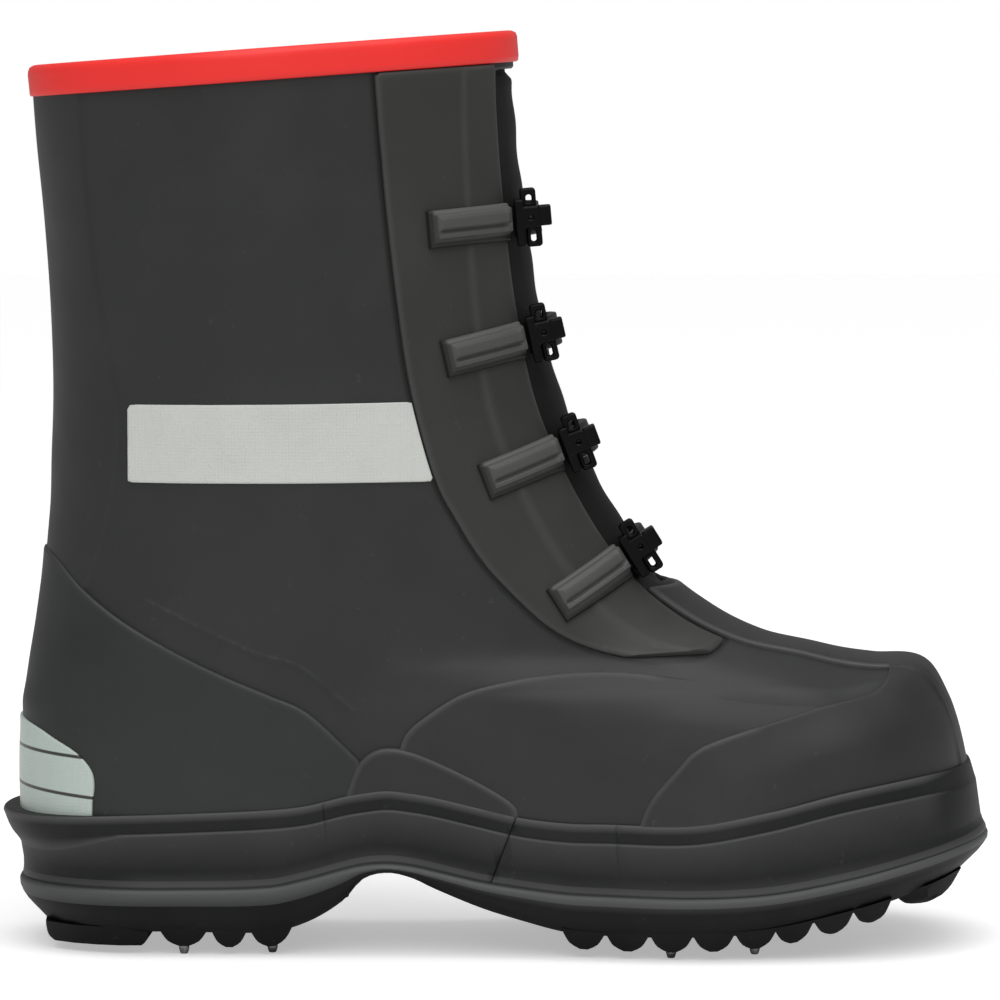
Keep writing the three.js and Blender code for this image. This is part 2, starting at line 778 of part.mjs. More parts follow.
// What lies above the foxing, or below its top edge.
const aboveFoxing = prism([
  ...soleAlong(-OUTSIDE, OUTSIDE, FOXING_STEPS, (x) => foxingTop(x) + GAP),
  new THREE.Vector2(OUTSIDE, ABOVE),
  new THREE.Vector2(-OUTSIDE, ABOVE),
]);
const belowFoxing = prism([
  ...soleAlong(-OUTSIDE, OUTSIDE, FOXING_STEPS, foxingTop),
  new THREE.Vector2(OUTSIDE, BELOW),
  new THREE.Vector2(-OUTSIDE, BELOW),
]);
const outerSide = (outline) => prism(outline, -BALL_WIDTH, 0);
const innerSide = (outline) => prism(outline, 0, BALL_WIDTH);
const bindingCut = cutToBinding();
const facingBand = frontBand((t) => openingHalf(t) + FLAP_EDGE, 7.6, TOP);
const panelShell = shell(GAP, GAP + PANEL);

const facing = (sideOf) =>
  panelShell.intersect(sideOf(facingOutline)).subtract(facingBand).subtract(bindingCut);

const toeCap = () =>
  shell(GAP, GAP + TOE_CAP, 0, 8).intersect(prism(capOutline)).intersect(aboveFoxing);

const counter = () =>
  shell(GAP, GAP + PANEL, 0, 11)
    .intersect(prism(counterOutline))
    .intersect(aboveFoxing)
    .subtract(prism(grown(shankOutline, GAP)));

const shankPatch = (sideOf) =>
  shell(GAP, GAP + SHANK_PATCH, 0, 8).intersect(sideOf(shankOutline)).intersect(aboveFoxing);

const vampPanel = (sideOf) =>
  shell(GAP, GAP + VAMP_PANEL, 0, 9)
    .intersect(sideOf(vampOutline))
    .intersect(aboveFoxing)
    .subtract(prism(grown(shankOutline, GAP)))
    .subtract(prism(grown(capOutline, GAP)));

function toeStrip() {
  const strip = frontBand(() => BALL_WIDTH * STRIP_HALF, 4, OPENING_FOOT - 0.12);
  return panelShell.intersect(strip).subtract(prism(grown(capOutline, GAP)));
}

// Where a column of the faceted skin reaches a height
function turnAtHeight(s, lift, height) {
  let low = 0;
  let high = 5;
  for (let i = 0; i < 20; i++) {
    const middle = (low + high) / 2;
    const p = facet(middle, s, lift);
    if (p.z > height(p.x)) high = middle;
    else low = middle;
  }
  return low;
}

// Foxing: a band round the shoe above the rim. Its upper part is set back from a thicker lower
// strip, and swells out behind the heel into a kick ledge.
function foxing() {
  const inner = -FOXING;
  const outer = GAP + FOXING;
  const foot = (x) => deck(x) - 1;
  const stepFoot = (x) => foxingTop(x) - STEP_HEIGHT;
  const at = (s, lift, height) => {
    const p = facet(turnAtHeight(s, lift, height), s, lift);
    return p.setZ(height(p.x));
  };
  const waist = (s, lift, below) => {
    const p = facet(1, s, lift);
    return p.z < below(p.x) - 1 ? p : at(s, lift, (x) => below(x) - 1);
  };
  const loops = SKIN_COLUMNS.map((s) => {
    const ledge = 1 - ease(-0.46, -0.36, skinPoint(2, s).x / LENGTH);
    const ledgeFoot = (x) => stepFoot(x) - LEDGE_SLOPE * ledge;
    const setBack = outer - FOXING_STEP * (1 - ledge);
    return [
      at(s, outer + FLARE * (1 - ledge / 2), foot),
      at(s, outer, (x) => foot(x) + FLARE_HEIGHT),
      waist(s, outer, ledgeFoot),
      at(s, outer, ledgeFoot),
      at(s, setBack + KICK_LEDGE * ledge * 0.7, (x) => stepFoot(x) + (FOXING_STEP / 2) * (1 - ledge)),
      at(s, setBack + KICK_LEDGE * ledge, (x) => foxingTop(x) + 1),
      at(s, inner, (x) => foxingTop(x) + 1),
      at(s, inner, foot),
    ];
  });
  return loft(loops, true).intersect(belowFoxing).subtract(form(GAP, 4)).subtract(trim);
}
const foxingJoint = (shift) =>
  prism([
    new THREE.Vector2(xOf(0.495) + shift, BELOW),
    new THREE.Vector2(xOf(0.495) + shift, zOf(0.08)),
    new THREE.Vector2(xOf(0.526) + shift, zOf(0.17)),
    new THREE.Vector2(xOf(0.526) + shift, ABOVE),
    new THREE.Vector2(OUTSIDE, ABOVE),
    new THREE.Vector2(OUTSIDE, BELOW),
  ]);

// Binding folded over the rim of the collar.
function collarBinding() {
  const outer = GAP + BINDING;
  const inner = -WALL - GAP - BINDING;
  const above = (s, lift, rise) => skin(TOP, s, lift).add(new THREE.Vector3(0, 0, rise));
  const loops = SKIN_COLUMNS.map((s) => [
    skin(BAND, s, GAP),
    skin(BAND, s, outer),
    above(s, outer - BINDING / 4, GAP + BINDING),
    above(s, inner + BINDING / 4, GAP + BINDING),
    skin(BAND, s, inner),
    skin(BAND, s, -WALL - GAP),
    above(s, -WALL - GAP, GAP),
    above(s, GAP, GAP),
  ]);
  return loft(loops, true);
}

const sideReflector = () =>
  shell(GAP, GAP + REFLECTOR, 9, 14)
    .intersect(outerSide(sidePoints(SIDE_REFLECTOR)))
    .subtract(prism(grown(facingOutline, GAP * 2)));

const ON_PANEL = GAP + PANEL + GAP;
function heelReflector() {
  const outline = [
    ...smoothed(HEEL_REFLECTOR, 9),
    new THREE.Vector2(xOf(0.09), BELOW),
    new THREE.Vector2(-OUTSIDE, BELOW),
    new THREE.Vector2(-OUTSIDE, zOf(HEEL_REFLECTOR[0].up)),
  ];
  return shell(ON_PANEL, ON_PANEL + REFLECTOR, 0, 8).intersect(prism(outline)).intersect(aboveFoxing);
}

// Buckles. Each is drawn in its own side-view axes: forwards along the tab, and across it.
function buckleAxes({ along, up, tilt }) {
  const angle = THREE.MathUtils.degToRad(tilt);
  const head = new THREE.Vector2(xOf(along), zOf(up));
  const forwards = new THREE.Vector2(Math.cos(angle), Math.sin(angle));
  const across = new THREE.Vector2(-forwards.y, forwards.x);
  const at = (a, b) => head.clone().addScaledVector(forwards, a).addScaledVector(across, b);
  const box = (fromA, toA, half, middle = 0) => [
    at(fromA, middle - half),
    at(toA, middle - half),
    at(toA, middle + half),
    at(fromA, middle + half),
  ];
  return { head, across, at, box, angle };
}

// The section of the skin where it crosses a side-view line through a buckle, where the
// crossing point is found by its own rule, such as a place along the shoe.
function sectionWhere(pointAt, reached) {
  let low = 7;
  let high = TOP;
  for (let i = 0; i < 20; i++) {
    const middle = (low + high) / 2;
    if (reached(pointAt(middle))) high = middle;
    else low = middle;
  }
  return low;
}

// The lifted point that shows at a place in the side view, found by a few Newton steps.
function sideLifted(place, side, lift) {
  let t = 12;
  let s = 0.2;
  const at = (turn, run) => {
    const p = facet(turn, side * run, lift);
    return new THREE.Vector2(p.x, p.z);
  };
  for (let i = 0; i < 9; i++) {
    const here = at(t, s);
    const up = at(t + 0.02, s).sub(here).divideScalar(0.02);
    const back = at(t, s + 0.002).sub(here).divideScalar(0.002);
    const miss = place.clone().sub(here);
    const area = up.cross(back);
    t = clamp(t + miss.cross(back) / area, 7, TOP);
    s = clamp(s + up.cross(miss) / area, 0.02, 0.9);
  }
  return facet(t, side * s, lift);
}

// A moulded tab with a raised ridge along it.
const TAB_STATIONS = [-1, -0.94, -0.62, -0.3, -0.15, 0];
const TAB_PROFILE = table(
  ["across", "rise"],
  [
    [-0.5, 0],
    [-0.5, 1],
    [-0.34, 1],
    [-0.28, 1.8],
    [0.28, 1.8],
    [0.34, 1],
    [0.5, 1],
    [0.5, 0],
  ],
);
function buckleTab(buckle, side) {
  const { at } = buckleAxes(buckle);
  const loops = TAB_STATIONS.map((station) =>
    TAB_PROFILE.map(({ across, rise }) => {
      const height = station === -1 ? Math.min(rise, 1) : rise;
      return sideLifted(
        at(station * TAB_LENGTH, across * TAB_WIDTH),
        side,
        ON_PANEL + height * TAB_THICKNESS,
      );
    }),
  );
  return loft(loops, false);
}

// The slotted ladder that spans the gusset from one tab to the other.
function buckleSection(buckle, y, offset = 0) {
  const { head, across } = buckleAxes(buckle);
  return sectionWhere(
    (t) => frontPoint(t, y),
    (p) => new THREE.Vector2(p.x, p.z).sub(head).dot(across) > offset,
  );
}

function buckleLadder(buckle) {
  const { box, angle } = buckleAxes(buckle);
  const reach = openingHalf(buckleSection(buckle, 0)) + TAB_THICKNESS * 4;
  const steps = 9;
  const loops = [];
  for (let i = 0; i <= steps; i++) {
    const y = lerp(-reach, reach, i / steps);
    const edge = (offset, lift) => front(buckleSection(buckle, y, offset), y, lift);
    const half = LADDER_WIDTH / 2;
    const top = ON_PANEL + LADDER_THICKNESS;
    loops.push([edge(-half, ON_PANEL), edge(-half, top), edge(half, top), edge(half, ON_PANEL)]);
  }
  let ladder = loft(loops, false).intersect(prism(box(GAP * 2, LENGTH * 0.2, LADDER_WIDTH)));
  for (const k of [-1, 0, 1, 2]) {
    const y = (k - 0.25) * LADDER_PITCH;
    const t = buckleSection(buckle, y);
    const place = front(t, y, ON_PANEL + LADDER_THICKNESS / 2);
    const normal = front(t, y, 1).sub(frontPoint(t, y));
    const slot = new THREE.BoxGeometry(LADDER_THICKNESS * 3, LADDER_SLOT, LADDER_WIDTH * 0.56);
    slot.rotateZ(Math.atan2(normal.y, normal.x));
    slot.rotateY(-angle);
    slot.translate(place.x, place.y, place.z);
    ladder = ladder.subtract(solidOfGeometry(slot));
  }
  return ladder;
}

// The toggle on the tab's end: a cross of eyes round a pierced boss, drawn from the side. All
// lengths are shares of TAB_WIDTH, and "share" is the part of the toggle's own width.
const TOGGLE_PARTS = table(
  ["forwards", "across", "length", "height", "share"],
  [
    [-0.37, -0.13, 0.27, 1.25, 1],
    [-0.11, 0, 0.53, 0.58, 1],
    [0.29, 0, 0.35, 0.43, 1],
    [-0.12, 0.51, 0.43, 0.53, 0.6],
    [-0.03, -0.5, 0.42, 0.54, 0.6],
  ],
);
const TOGGLE_EYES = table(
  ["forwards", "across", "length", "height"],
  [
    [-0.1, 0.52, 0.18, 0.21],
    [-0.02, -0.5, 0.14, 0.26],
  ],
);
const TOGGLE_BOSS = { forwards: -0.08, across: 0, length: 0.19, height: 0.19 };
const TOGGLE_LIFT = 0.07;
const toggleSeat = form(ON_PANEL + LADDER_THICKNESS + GAP * 3);

function buckleToggle(buckle) {
  const { box } = buckleAxes(buckle);
  const middle = -(openingHalf(buckleSection(buckle, 0)) + FLAP_EDGE);
  const slab = ({ forwards, across, length, height }, share) => {
    const from = TOGGLE_REACH + (forwards - length / 2) * TAB_WIDTH;
    const lift = (across + TOGGLE_LIFT) * TAB_WIDTH;
    const outline = box(from, from + length * TAB_WIDTH, (height * TAB_WIDTH) / 2, lift);
    return prism(outline, middle - (TOGGLE_WIDTH * share) / 2, middle + (TOGGLE_WIDTH * share) / 2);
  };
  let toggle = slab(TOGGLE_PARTS[0], 1);
  for (const part of TOGGLE_PARTS.slice(1)) toggle = toggle.add(slab(part, part.share));
  for (const eye of TOGGLE_EYES) toggle = toggle.subtract(slab(eye, 2));
  const recess = slab(TOGGLE_BOSS, 0.3).translate([0, -TOGGLE_WIDTH / 2, 0]);
  const pieces = toggle.subtract(recess).subtract(toggleSeat).decompose();
  return pieces.sort((a, b) => b.volume() - a.volume())[0];
}

// Materials
const material = (color, roughness, metalness = 0) =>
  new THREE.MeshStandardMaterial({ color, roughness, metalness });
const RUBBER = material(0x35373a, 0.62);
const FACING_RUBBER = material(0x3f403c, 0.6);
const SOLE_RUBBER = material(0x2b2d2d, 0.7);
const RED_RUBBER = material(0xf0302a, 0.45);
const REFLECTIVE = material(0xb9bdb8, 0.5);
const BUCKLE_BLACK = material(0x111213, 0.4);
const STEEL = material(0x5a5d60, 0.4, 1);
const FELT = material(0x2e2f30, 0.95);

const shoe = new THREE.Group();

function add(name, solid, look) {
  const { vertProperties, triVerts } = solid.getMesh();
  const geometry = new THREE.BufferGeometry();
  geometry.setAttribute("position", new THREE.BufferAttribute(vertProperties, 3));
  geometry.setIndex(new THREE.BufferAttribute(triVerts, 1));
  geometry.computeVertexNormals();
  const mesh = new THREE.Mesh(geometry, look);
  mesh.name = name;
  shoe.add(mesh);
}

add("outsole", outsole(), SOLE_RUBBER);
add("insole", insole(), FELT);
add("upper", upper(), RUBBER);
add("gusset", gusset(), RUBBER);
add("facing_outer", facing(outerSide), FACING_RUBBER);
add("facing_inner", facing(innerSide), FACING_RUBBER);
add("heel_counter", counter(), RUBBER);
add("shank_patch_outer", shankPatch(outerSide), RUBBER);
add("shank_patch_inner", shankPatch(innerSide), RUBBER);
add("vamp_panel_outer", vampPanel(outerSide), RUBBER);
add("vamp_panel_inner", vampPanel(innerSide), RUBBER);
add("toe_strip", toeStrip(), RUBBER);
add("toe_cap", toeCap(), RUBBER);

const band = foxing();
add("foxing_rear", band.subtract(foxingJoint(-GAP / 2)), SOLE_RUBBER);
add("foxing_front", band.intersect(foxingJoint(GAP / 2)), SOLE_RUBBER);
add("collar_binding", collarBinding(), RED_RUBBER);
add("side_reflector", sideReflector(), REFLECTIVE);
add("heel_reflector", heelReflector(), REFLECTIVE);

BUCKLES.forEach((buckle, i) => {
  add(`buckle_tab_outer_${i + 1}`, buckleTab(buckle, -1), FACING_RUBBER);
  add(`buckle_tab_inner_${i + 1}`, buckleTab(buckle, 1), FACING_RUBBER);
  add(`buckle_ladder_${i + 1}`, buckleLadder(buckle), BUCKLE_BLACK);
  add(`buckle_toggle_${i + 1}`, buckleToggle(buckle), BUCKLE_BLACK);
});
studPlaces.forEach((place, i) => add(`stud_${i + 1}`, stud(place), STEEL));

// The frame's origin is on the floor, under the middle of the shoe.
const bounds = new THREE.Box3().setFromObject(shoe);
const middle = bounds.getCenter(new THREE.Vector3());
shoe.position.set(-middle.x, -middle.y, -bounds.min.z);

export default shoe;
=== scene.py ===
# A rubber winter overshoe for the right foot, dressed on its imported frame.
# Sizes are in the frame's own axes: toe towards +X, inner side towards +Y, +Z up.
# The skin is worked out in millimetres and made in metres.
import functools
import math

import bmesh
import bpy
import numpy as np
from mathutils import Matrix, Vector


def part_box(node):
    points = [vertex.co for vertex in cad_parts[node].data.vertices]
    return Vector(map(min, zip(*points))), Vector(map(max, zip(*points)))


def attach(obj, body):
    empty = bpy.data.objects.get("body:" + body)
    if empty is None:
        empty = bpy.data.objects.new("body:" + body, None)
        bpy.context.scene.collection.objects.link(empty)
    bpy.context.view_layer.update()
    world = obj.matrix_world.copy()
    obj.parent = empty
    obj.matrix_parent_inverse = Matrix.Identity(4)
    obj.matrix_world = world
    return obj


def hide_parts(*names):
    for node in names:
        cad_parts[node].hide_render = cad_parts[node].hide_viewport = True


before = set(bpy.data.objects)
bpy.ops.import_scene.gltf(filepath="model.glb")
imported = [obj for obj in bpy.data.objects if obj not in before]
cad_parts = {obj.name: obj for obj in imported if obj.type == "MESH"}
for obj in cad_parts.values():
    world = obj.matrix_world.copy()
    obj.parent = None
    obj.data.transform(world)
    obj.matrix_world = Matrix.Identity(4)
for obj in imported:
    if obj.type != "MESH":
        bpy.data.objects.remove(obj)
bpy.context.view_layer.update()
MM = 0.001

# Sizes of the whole shoe
LENGTH = 330
COLLAR_HEIGHT = 300
BALL_WIDTH = 116
TOE_SWING = 7

# Thicknesses of the rubber pieces, and the gap between laid pieces
GAP = 0.3
WALL = 2.4
PANEL = 1.2
VAMP_PANEL = 1.0
SHANK_PATCH = 1.8
TOE_CAP = 2.1
FOXING = 3.2
FOXING_STEP = 0.9
STEP_HEIGHT = 6.5
KICK_LEDGE = 4.6
LEDGE_SLOPE = 5.2
FLARE = 1.8
FLARE_HEIGHT = 4.5
FLAP_EDGE = 1.2
BINDING = 1.4
BINDING_HEIGHT = 9
REFLECTOR = 0.6
GUSSET = 1.8
INSOLE = 4

# Outsole
RIM_REACH = 6.2
HEEL_RIM_INSET = 3.1
DECK_RISE = 1.5
LUG_DEPTH = 5
LUG_GROOVE = 3
LUG_TIP = 0.5
STUD_REACH = 3
STUD_RADIUS = 1.7
STUD_SEAT = 3
STUD_LEVEL = 0.5

# Buckles
TAB_LENGTH = 27
TAB_WIDTH = 12.5
TAB_THICKNESS = 2.2
LADDER_WIDTH = 11
LADDER_THICKNESS = 2.6
LADDER_SLOT = 5
LADDER_PITCH = 8.4
TOGGLE_WIDTH = 10
TOGGLE_REACH = 7.4


def table(columns, rows):
    """Rows of numbers as arrays under their column's name."""
    return {name: np.array([row[i] for row in rows], float) for i, name in enumerate(columns)}


# Closed sections of the upper from the feather line to the collar: lengths are shares of
# LENGTH, rises of COLLAR_HEIGHT, half widths of BALL_WIDTH.
SECTIONS = table(
    "toe toe_up heel heel_up follow seat waist ball toe_end heel_end square".split(),
    [
        [0.988, -0.014, 0.033, -0.014, 1.0, 0.353, 0.345, 0.491, 0.188, 0.133, 2.3],
        [0.988, 0.028, 0.0235, 0.053, 1.0, 0.366, 0.366, 0.5, 0.188, 0.133, 2.3],
        [0.982, 0.085, 0.0213, 0.108, 0.9, 0.369, 0.379, 0.497, 0.182, 0.136, 2.3],
        [0.971, 0.147, 0.0213, 0.157, 0.75, 0.367, 0.39, 0.483, 0.176, 0.136, 2.3],
        [0.9585, 0.21, 0.0221, 0.197, 0.55, 0.365, 0.397, 0.459, 0.17, 0.136, 2.25],
        [0.936, 0.27, 0.0222, 0.23, 0.35, 0.362, 0.401, 0.429, 0.164, 0.136, 2.2],
        [0.897, 0.298, 0.0222, 0.258, 0.2, 0.36, 0.403, 0.397, 0.164, 0.139, 2.15],
        [0.839, 0.322, 0.0255, 0.287, 0.1, 0.36, 0.405, 0.366, 0.17, 0.142, 2.1],
        [0.776, 0.345, 0.0294, 0.323, 0.0, 0.362, 0.407, 0.353, 0.188, 0.145, 2.05],
        [0.721, 0.3745, 0.0364, 0.37, 0.0, 0.367, 0.41, 0.358, 0.2, 0.152, 2.0],
        [0.665, 0.425, 0.0434, 0.43, 0.0, 0.379, 0.421, 0.371, 0.206, 0.161, 2.0],
        [0.614, 0.51, 0.0475, 0.507, 0.0, 0.401, 0.438, 0.391, 0.218, 0.173, 2.0],
        [0.573, 0.61, 0.0521, 0.61, 0.0, 0.431, 0.462, 0.419, 0.23, 0.185, 2.0],
        [0.548, 0.72, 0.0501, 0.713, 0.0, 0.457, 0.486, 0.448, 0.239, 0.197, 2.0],
        [0.532, 0.833, 0.0441, 0.813, 0.0, 0.474, 0.505, 0.467, 0.245, 0.206, 2.0],
        [0.522, 0.937, 0.0366, 0.9, 0.0, 0.486, 0.517, 0.479, 0.248, 0.212, 2.0],
        [0.5185, 1.017, 0.0316, 0.978, 0.0, 0.491, 0.524, 0.484, 0.248, 0.215, 2.0],
    ],
)
TOP = len(SECTIONS["toe"]) - 1

# Side line of the sole: its underside, its rim and the top of the foxing
SOLE_LINE = table(
    ["along", "under", "rim", "foxing"],
    [
        [0.0, 0.03, 0.073, 0.153],
        [0.1, 0.0265, 0.073, 0.157],
        [0.18, 0.0265, 0.073, 0.16],
        [0.273, 0.0265, 0.076, 0.165],
        [0.312, 0.038, 0.085, 0.17],
        [0.348, 0.062, 0.096, 0.18],
        [0.368, 0.086, 0.101, 0.184],
        [0.393, 0.093, 0.103, 0.187],
        [0.418, 0.087, 0.1, 0.184],
        [0.439, 0.076, 0.095, 0.18],
        [0.485, 0.055, 0.083, 0.168],
        [0.527, 0.041, 0.076, 0.158],
        [0.573, 0.029, 0.071, 0.153],
        [0.61, 0.0265, 0.07, 0.153],
        [0.697, 0.0265, 0.069, 0.153],
        [0.773, 0.032, 0.073, 0.167],
        [0.848, 0.049, 0.087, 0.187],
        [0.924, 0.07, 0.105, 0.2],
        [1.0, 0.093, 0.123, 0.207],
    ],
)

# Edges of the laid panels in the side view, as shares of LENGTH and COLLAR_HEIGHT
FACING_BACK = [
    (0.38, 1.0), (0.392, 0.838), (0.407, 0.696), (0.419, 0.619), (0.441, 0.531),
    (0.461, 0.487), (0.486, 0.443), (0.516, 0.405), (0.556, 0.365), (0.596, 0.343),
    (0.646, 0.331), (0.697, 0.332), (0.722, 0.34), (0.735, 0.353), (0.73, 0.373),
]
COUNTER_TOP = [
    (0.0, 0.462), (0.045, 0.445), (0.086, 0.404), (0.122, 0.375), (0.164, 0.348),
    (0.2, 0.327), (0.235, 0.309), (0.275, 0.291), (0.315, 0.271), (0.366, 0.219),
]
SHANK_TOP = [
    (0.35, 0.12), (0.35, 0.17), (0.355, 0.193), (0.366, 0.219), (0.386, 0.233), (0.414, 0.231),
    (0.451, 0.215), (0.494, 0.191), (0.52, 0.172), (0.525, 0.158),
]
VAMP_TOP = [
    (0.405, 0.232), (0.412, 0.25), (0.429, 0.267), (0.468, 0.294), (0.516, 0.308),
    (0.559, 0.315), (0.603, 0.317), (0.645, 0.315), (0.727, 0.306), (0.803, 0.299),
    (0.893, 0.3),
]
CAP_EDGE = [
    (0.644, 0.15), (0.656, 0.18), (0.684, 0.216), (0.698, 0.232), (0.725, 0.246),
    (0.806, 0.274), (0.858, 0.289), (0.893, 0.303), (0.907, 0.345),
]
SIDE_REFLECTOR = [(0.133, 0.612), (0.44, 0.616), (0.463, 0.528), (0.133, 0.526)]
HEEL_REFLECTOR = [
    (0.0, 0.262), (0.035, 0.25), (0.056, 0.239), (0.074, 0.229), (0.087, 0.218), (0.096, 0.204),
    (0.098, 0.188), (0.096, 0.172),
]
# Edge of the raised stay that runs up the back of the shaft
BACK_STAY = [(0.082, 1.02), (0.1, 0.78), (0.123, 0.6), (0.115, 0.5), (0.095, 0.42), (0.07, 0.38)]

# Buckles: where each tab ends at the front opening, and how steeply it climbs in degrees
BUCKLES = [(0.518, 0.812, 5), (0.532, 0.682, 13), (0.568, 0.558, 20.5), (0.633, 0.438, 32)]

# Half width of the front opening at sections of the upper, as a share of BALL_WIDTH
OPENING = table(
    ["section", "half"],
    [[8, 0.215], [9, 0.207], [10, 0.2], [11, 0.203], [12, 0.209], [13, 0.207], [14, 0.2], [16, 0.185]],
)
OPENING_FOOT = 9.75
STRIP_HALF = 0.195

# Lug rows: place along the sole, length of a lug, and how many stand across
LUG_ROWS = [
    (0.187, 0.046, 4), (0.233, 0.034, 4), (0.276, 0.042, 3), (0.59, 0.042, 4),
    (0.634, 0.042, 4), (0.678, 0.042, 4), (0.72, 0.041, 4), (0.762, 0.041, 4),
    (0.8, 0.038, 4), (0.84, 0.039, 4), (0.879, 0.038, 3), (0.937, 0.066, 2),
]
HEEL_BLOCK = (0.045, 0.154)
LUG_STUDS = [(0, 0), (0, 3), (2, 0), (2, 2), (5, 0), (5, 3), (7, 0), (7, 3)]
HEEL_STUDS = [-0.12, 0.12]


def curve(keys, values):
    """A smooth curve through the rows of a table, read at any places between them."""
    before = np.r_[keys[0], keys[:-1]]
    after = np.r_[keys[1:], keys[-1]]
    slopes = (np.r_[values[1:], values[-1]] - np.r_[values[0], values[:-1]]) / (after - before)

    def read(place):
        place = np.asarray(place, float)
        i = np.clip(np.searchsorted(keys, place) - 1, 0, len(keys) - 2)
        span = keys[i + 1] - keys[i]
        f = (place - keys[i]) / span
        f2, f3 = f * f, f * f * f
        ends = (2 * f3 - 3 * f2 + 1) * values[i] + (3 * f2 - 2 * f3) * values[i + 1]
        return ends + (f3 - 2 * f2 + f) * slopes[i] * span + (f3 - f2) * slopes[i + 1] * span

    return read


def ease(low, high, x):
    f = np.clip((np.asarray(x, float) - low) / (high - low), 0, 1)
    return f * f * (3 - 2 * f)


SECTION = {name: curve(np.arange(TOP + 1.0), column) for name, column in SECTIONS.items()}
SOLE = {name: curve(SOLE_LINE["along"], column) for name, column in SOLE_LINE.items()}
opening_curve = curve(OPENING["section"], OPENING["half"])


def x_of(along):
    return (np.asarray(along, float) - 0.5) * LENGTH


def z_of(up):
    return np.asarray(up, float) * COLLAR_HEIGHT


def sole_line(name, x):
    return z_of(SOLE[name](np.clip(x / LENGTH + 0.5, 0, 1)))


def deck(x):
    return sole_line("rim", x) + DECK_RISE


def opening_half(t):
    return BALL_WIDTH * opening_curve(np.clip(t, 8, 16))


def end_round(reach, square):
    return (1 - (1 - np.clip(reach, 0, 1)) ** square) ** (1 / square)


def section_points(t, side, turn):
    """Points of the sections t on one side of the shoe, turning from toe (0) to heel (pi)."""
    read = {name: SECTION[name](t)[:, None] for name in SECTION}
    toe, heel = x_of(read["toe"]), x_of(read["heel"])
    x = (toe + heel) / 2 + (toe - heel) / 2 * np.cos(turn)[None]
    f = (x - heel) / (toe - heel)
    half = read["seat"] + (read["waist"] - read["seat"]) * ease(0.17, 0.45, f)
    half = BALL_WIDTH * (half + (read["ball"] - half) * ease(0.45, 0.74, f))
    half = half * end_round((toe - x) / (LENGTH * read["toe_end"]), read["square"])
    half = half * end_round((x - heel) / (LENGTH * read["heel_end"]), read["square"])
    swing = TOE_SWING * (ease(-0.05, 0.5, x / LENGTH) - 0.45 * ease(-0.45, -0.05, x / LENGTH))
    rise = z_of(read["heel_up"] + (read["toe_up"] - read["heel_up"]) * f)
    z = rise + read["follow"] * (deck(x) + GAP)
    return np.stack([x, swing * read["follow"] + side * half, z], axis=-1)


# The skin as a fine net: rows are sections (t), columns (s) run from the heel over the outer
# side to the front (s = 0) and over the inner side back to the heel.
ROW = 0.08
NET_COLUMNS = 1200
NET_T = np.arange(0, TOP + ROW / 2, ROW)


def skin_net():
    turn = np.linspace(0, math.pi, 1600)
    half = NET_COLUMNS // 2
    sides = []
    for side in (-1, 1):
        line = section_points(NET_T, side, turn)
        run = np.cumsum(np.linalg.norm(np.diff(line, axis=1), axis=2), axis=1)
        run = np.concatenate([np.zeros((len(NET_T), 1)), run], axis=1)
        even = np.linspace(0, 1, half + 1)
        rows = [
            np.stack([np.interp(even * run[i, -1], run[i], line[i, :, k]) for k in range(3)], axis=-1)
            for i in range(len(NET_T))
        ]
        sides.append(np.array(rows))
    outer, inner = sides
    return np.concatenate([outer[:, :0:-1], inner[:, :half]], axis=1)


NET = skin_net()


def net_normals():
    across = np.roll(NET, -6, axis=1) - np.roll(NET, 6, axis=1)
    up = np.gradient(NET, axis=0)
    normal = np.cross(across, up)
    return normal / np.linalg.norm(normal, axis=2, keepdims=True)


NET_NORMALS = net_normals()


def read_net(net, t, s):
    """Smooth reading of a net at places between its rows and columns."""
    u = np.clip(np.asarray(t, float) / ROW, 0, len(NET_T) - 1)
    v = (np.asarray(s, float) + 1) / 2 * NET_COLUMNS
    i = np.minimum(u.astype(int), len(NET_T) - 2)
    j = np.floor(v).astype(int)
    f, g = u - i, v - j

    def weights(x):
        x2, x3 = x * x, x * x * x
        return [
            (-x + 2 * x2 - x3) / 2,
            (2 - 5 * x2 + 3 * x3) / 2,
            (x + 4 * x2 - 3 * x3) / 2,
            (x3 - x2) / 2,
        ]

    total = 0
    for a, row_weight in enumerate(weights(f)):
        rows = np.clip(i + a - 1, 0, len(NET_T) - 1)
        for b, column_weight in enumerate(weights(g)):
            columns = (j + b - 1) % NET_COLUMNS
            total = total + (row_weight * column_weight)[..., None] * net[rows, columns]
    return total


def skin(t, s, lift=0.0):
    """Points on the skin, lifted off it along its normal."""
    normal = read_net(NET_NORMALS, t, s)
    normal = normal / np.linalg.norm(normal, axis=-1, keepdims=True)
    return read_net(NET, t, s) + normal * np.asarray(lift, float)[..., None]


def on_skin(places, lift=0.0):
    """Points on the skin at places whose first two columns are sections and columns."""
    return skin(places[:, 0], places[:, 1], lift)


# Where the collar's binding starts, in sections
BAND = TOP - BINDING_HEIGHT / z_of(SECTION["toe_up"](TOP) - SECTION["toe_up"](TOP - 1))


def lug_centre(row, lug):
    """Place and width of a lug, between the sides of the sole's footprint."""
    along, _, across = LUG_ROWS[row]
    x = x_of(along)
    sides = [section_points(np.array([1.0]), side, np.linspace(0, math.pi, 91))[0] for side in (-1, 1)]
    low, high = (np.interp(-x, -side[:, 0], side[:, 1]) for side in sides)
    pitch = (high - low + RIM_REACH) / across
    return x, (low + high) / 2 + (lug - (across - 1) / 2) * pitch, pitch - LUG_GROOVE


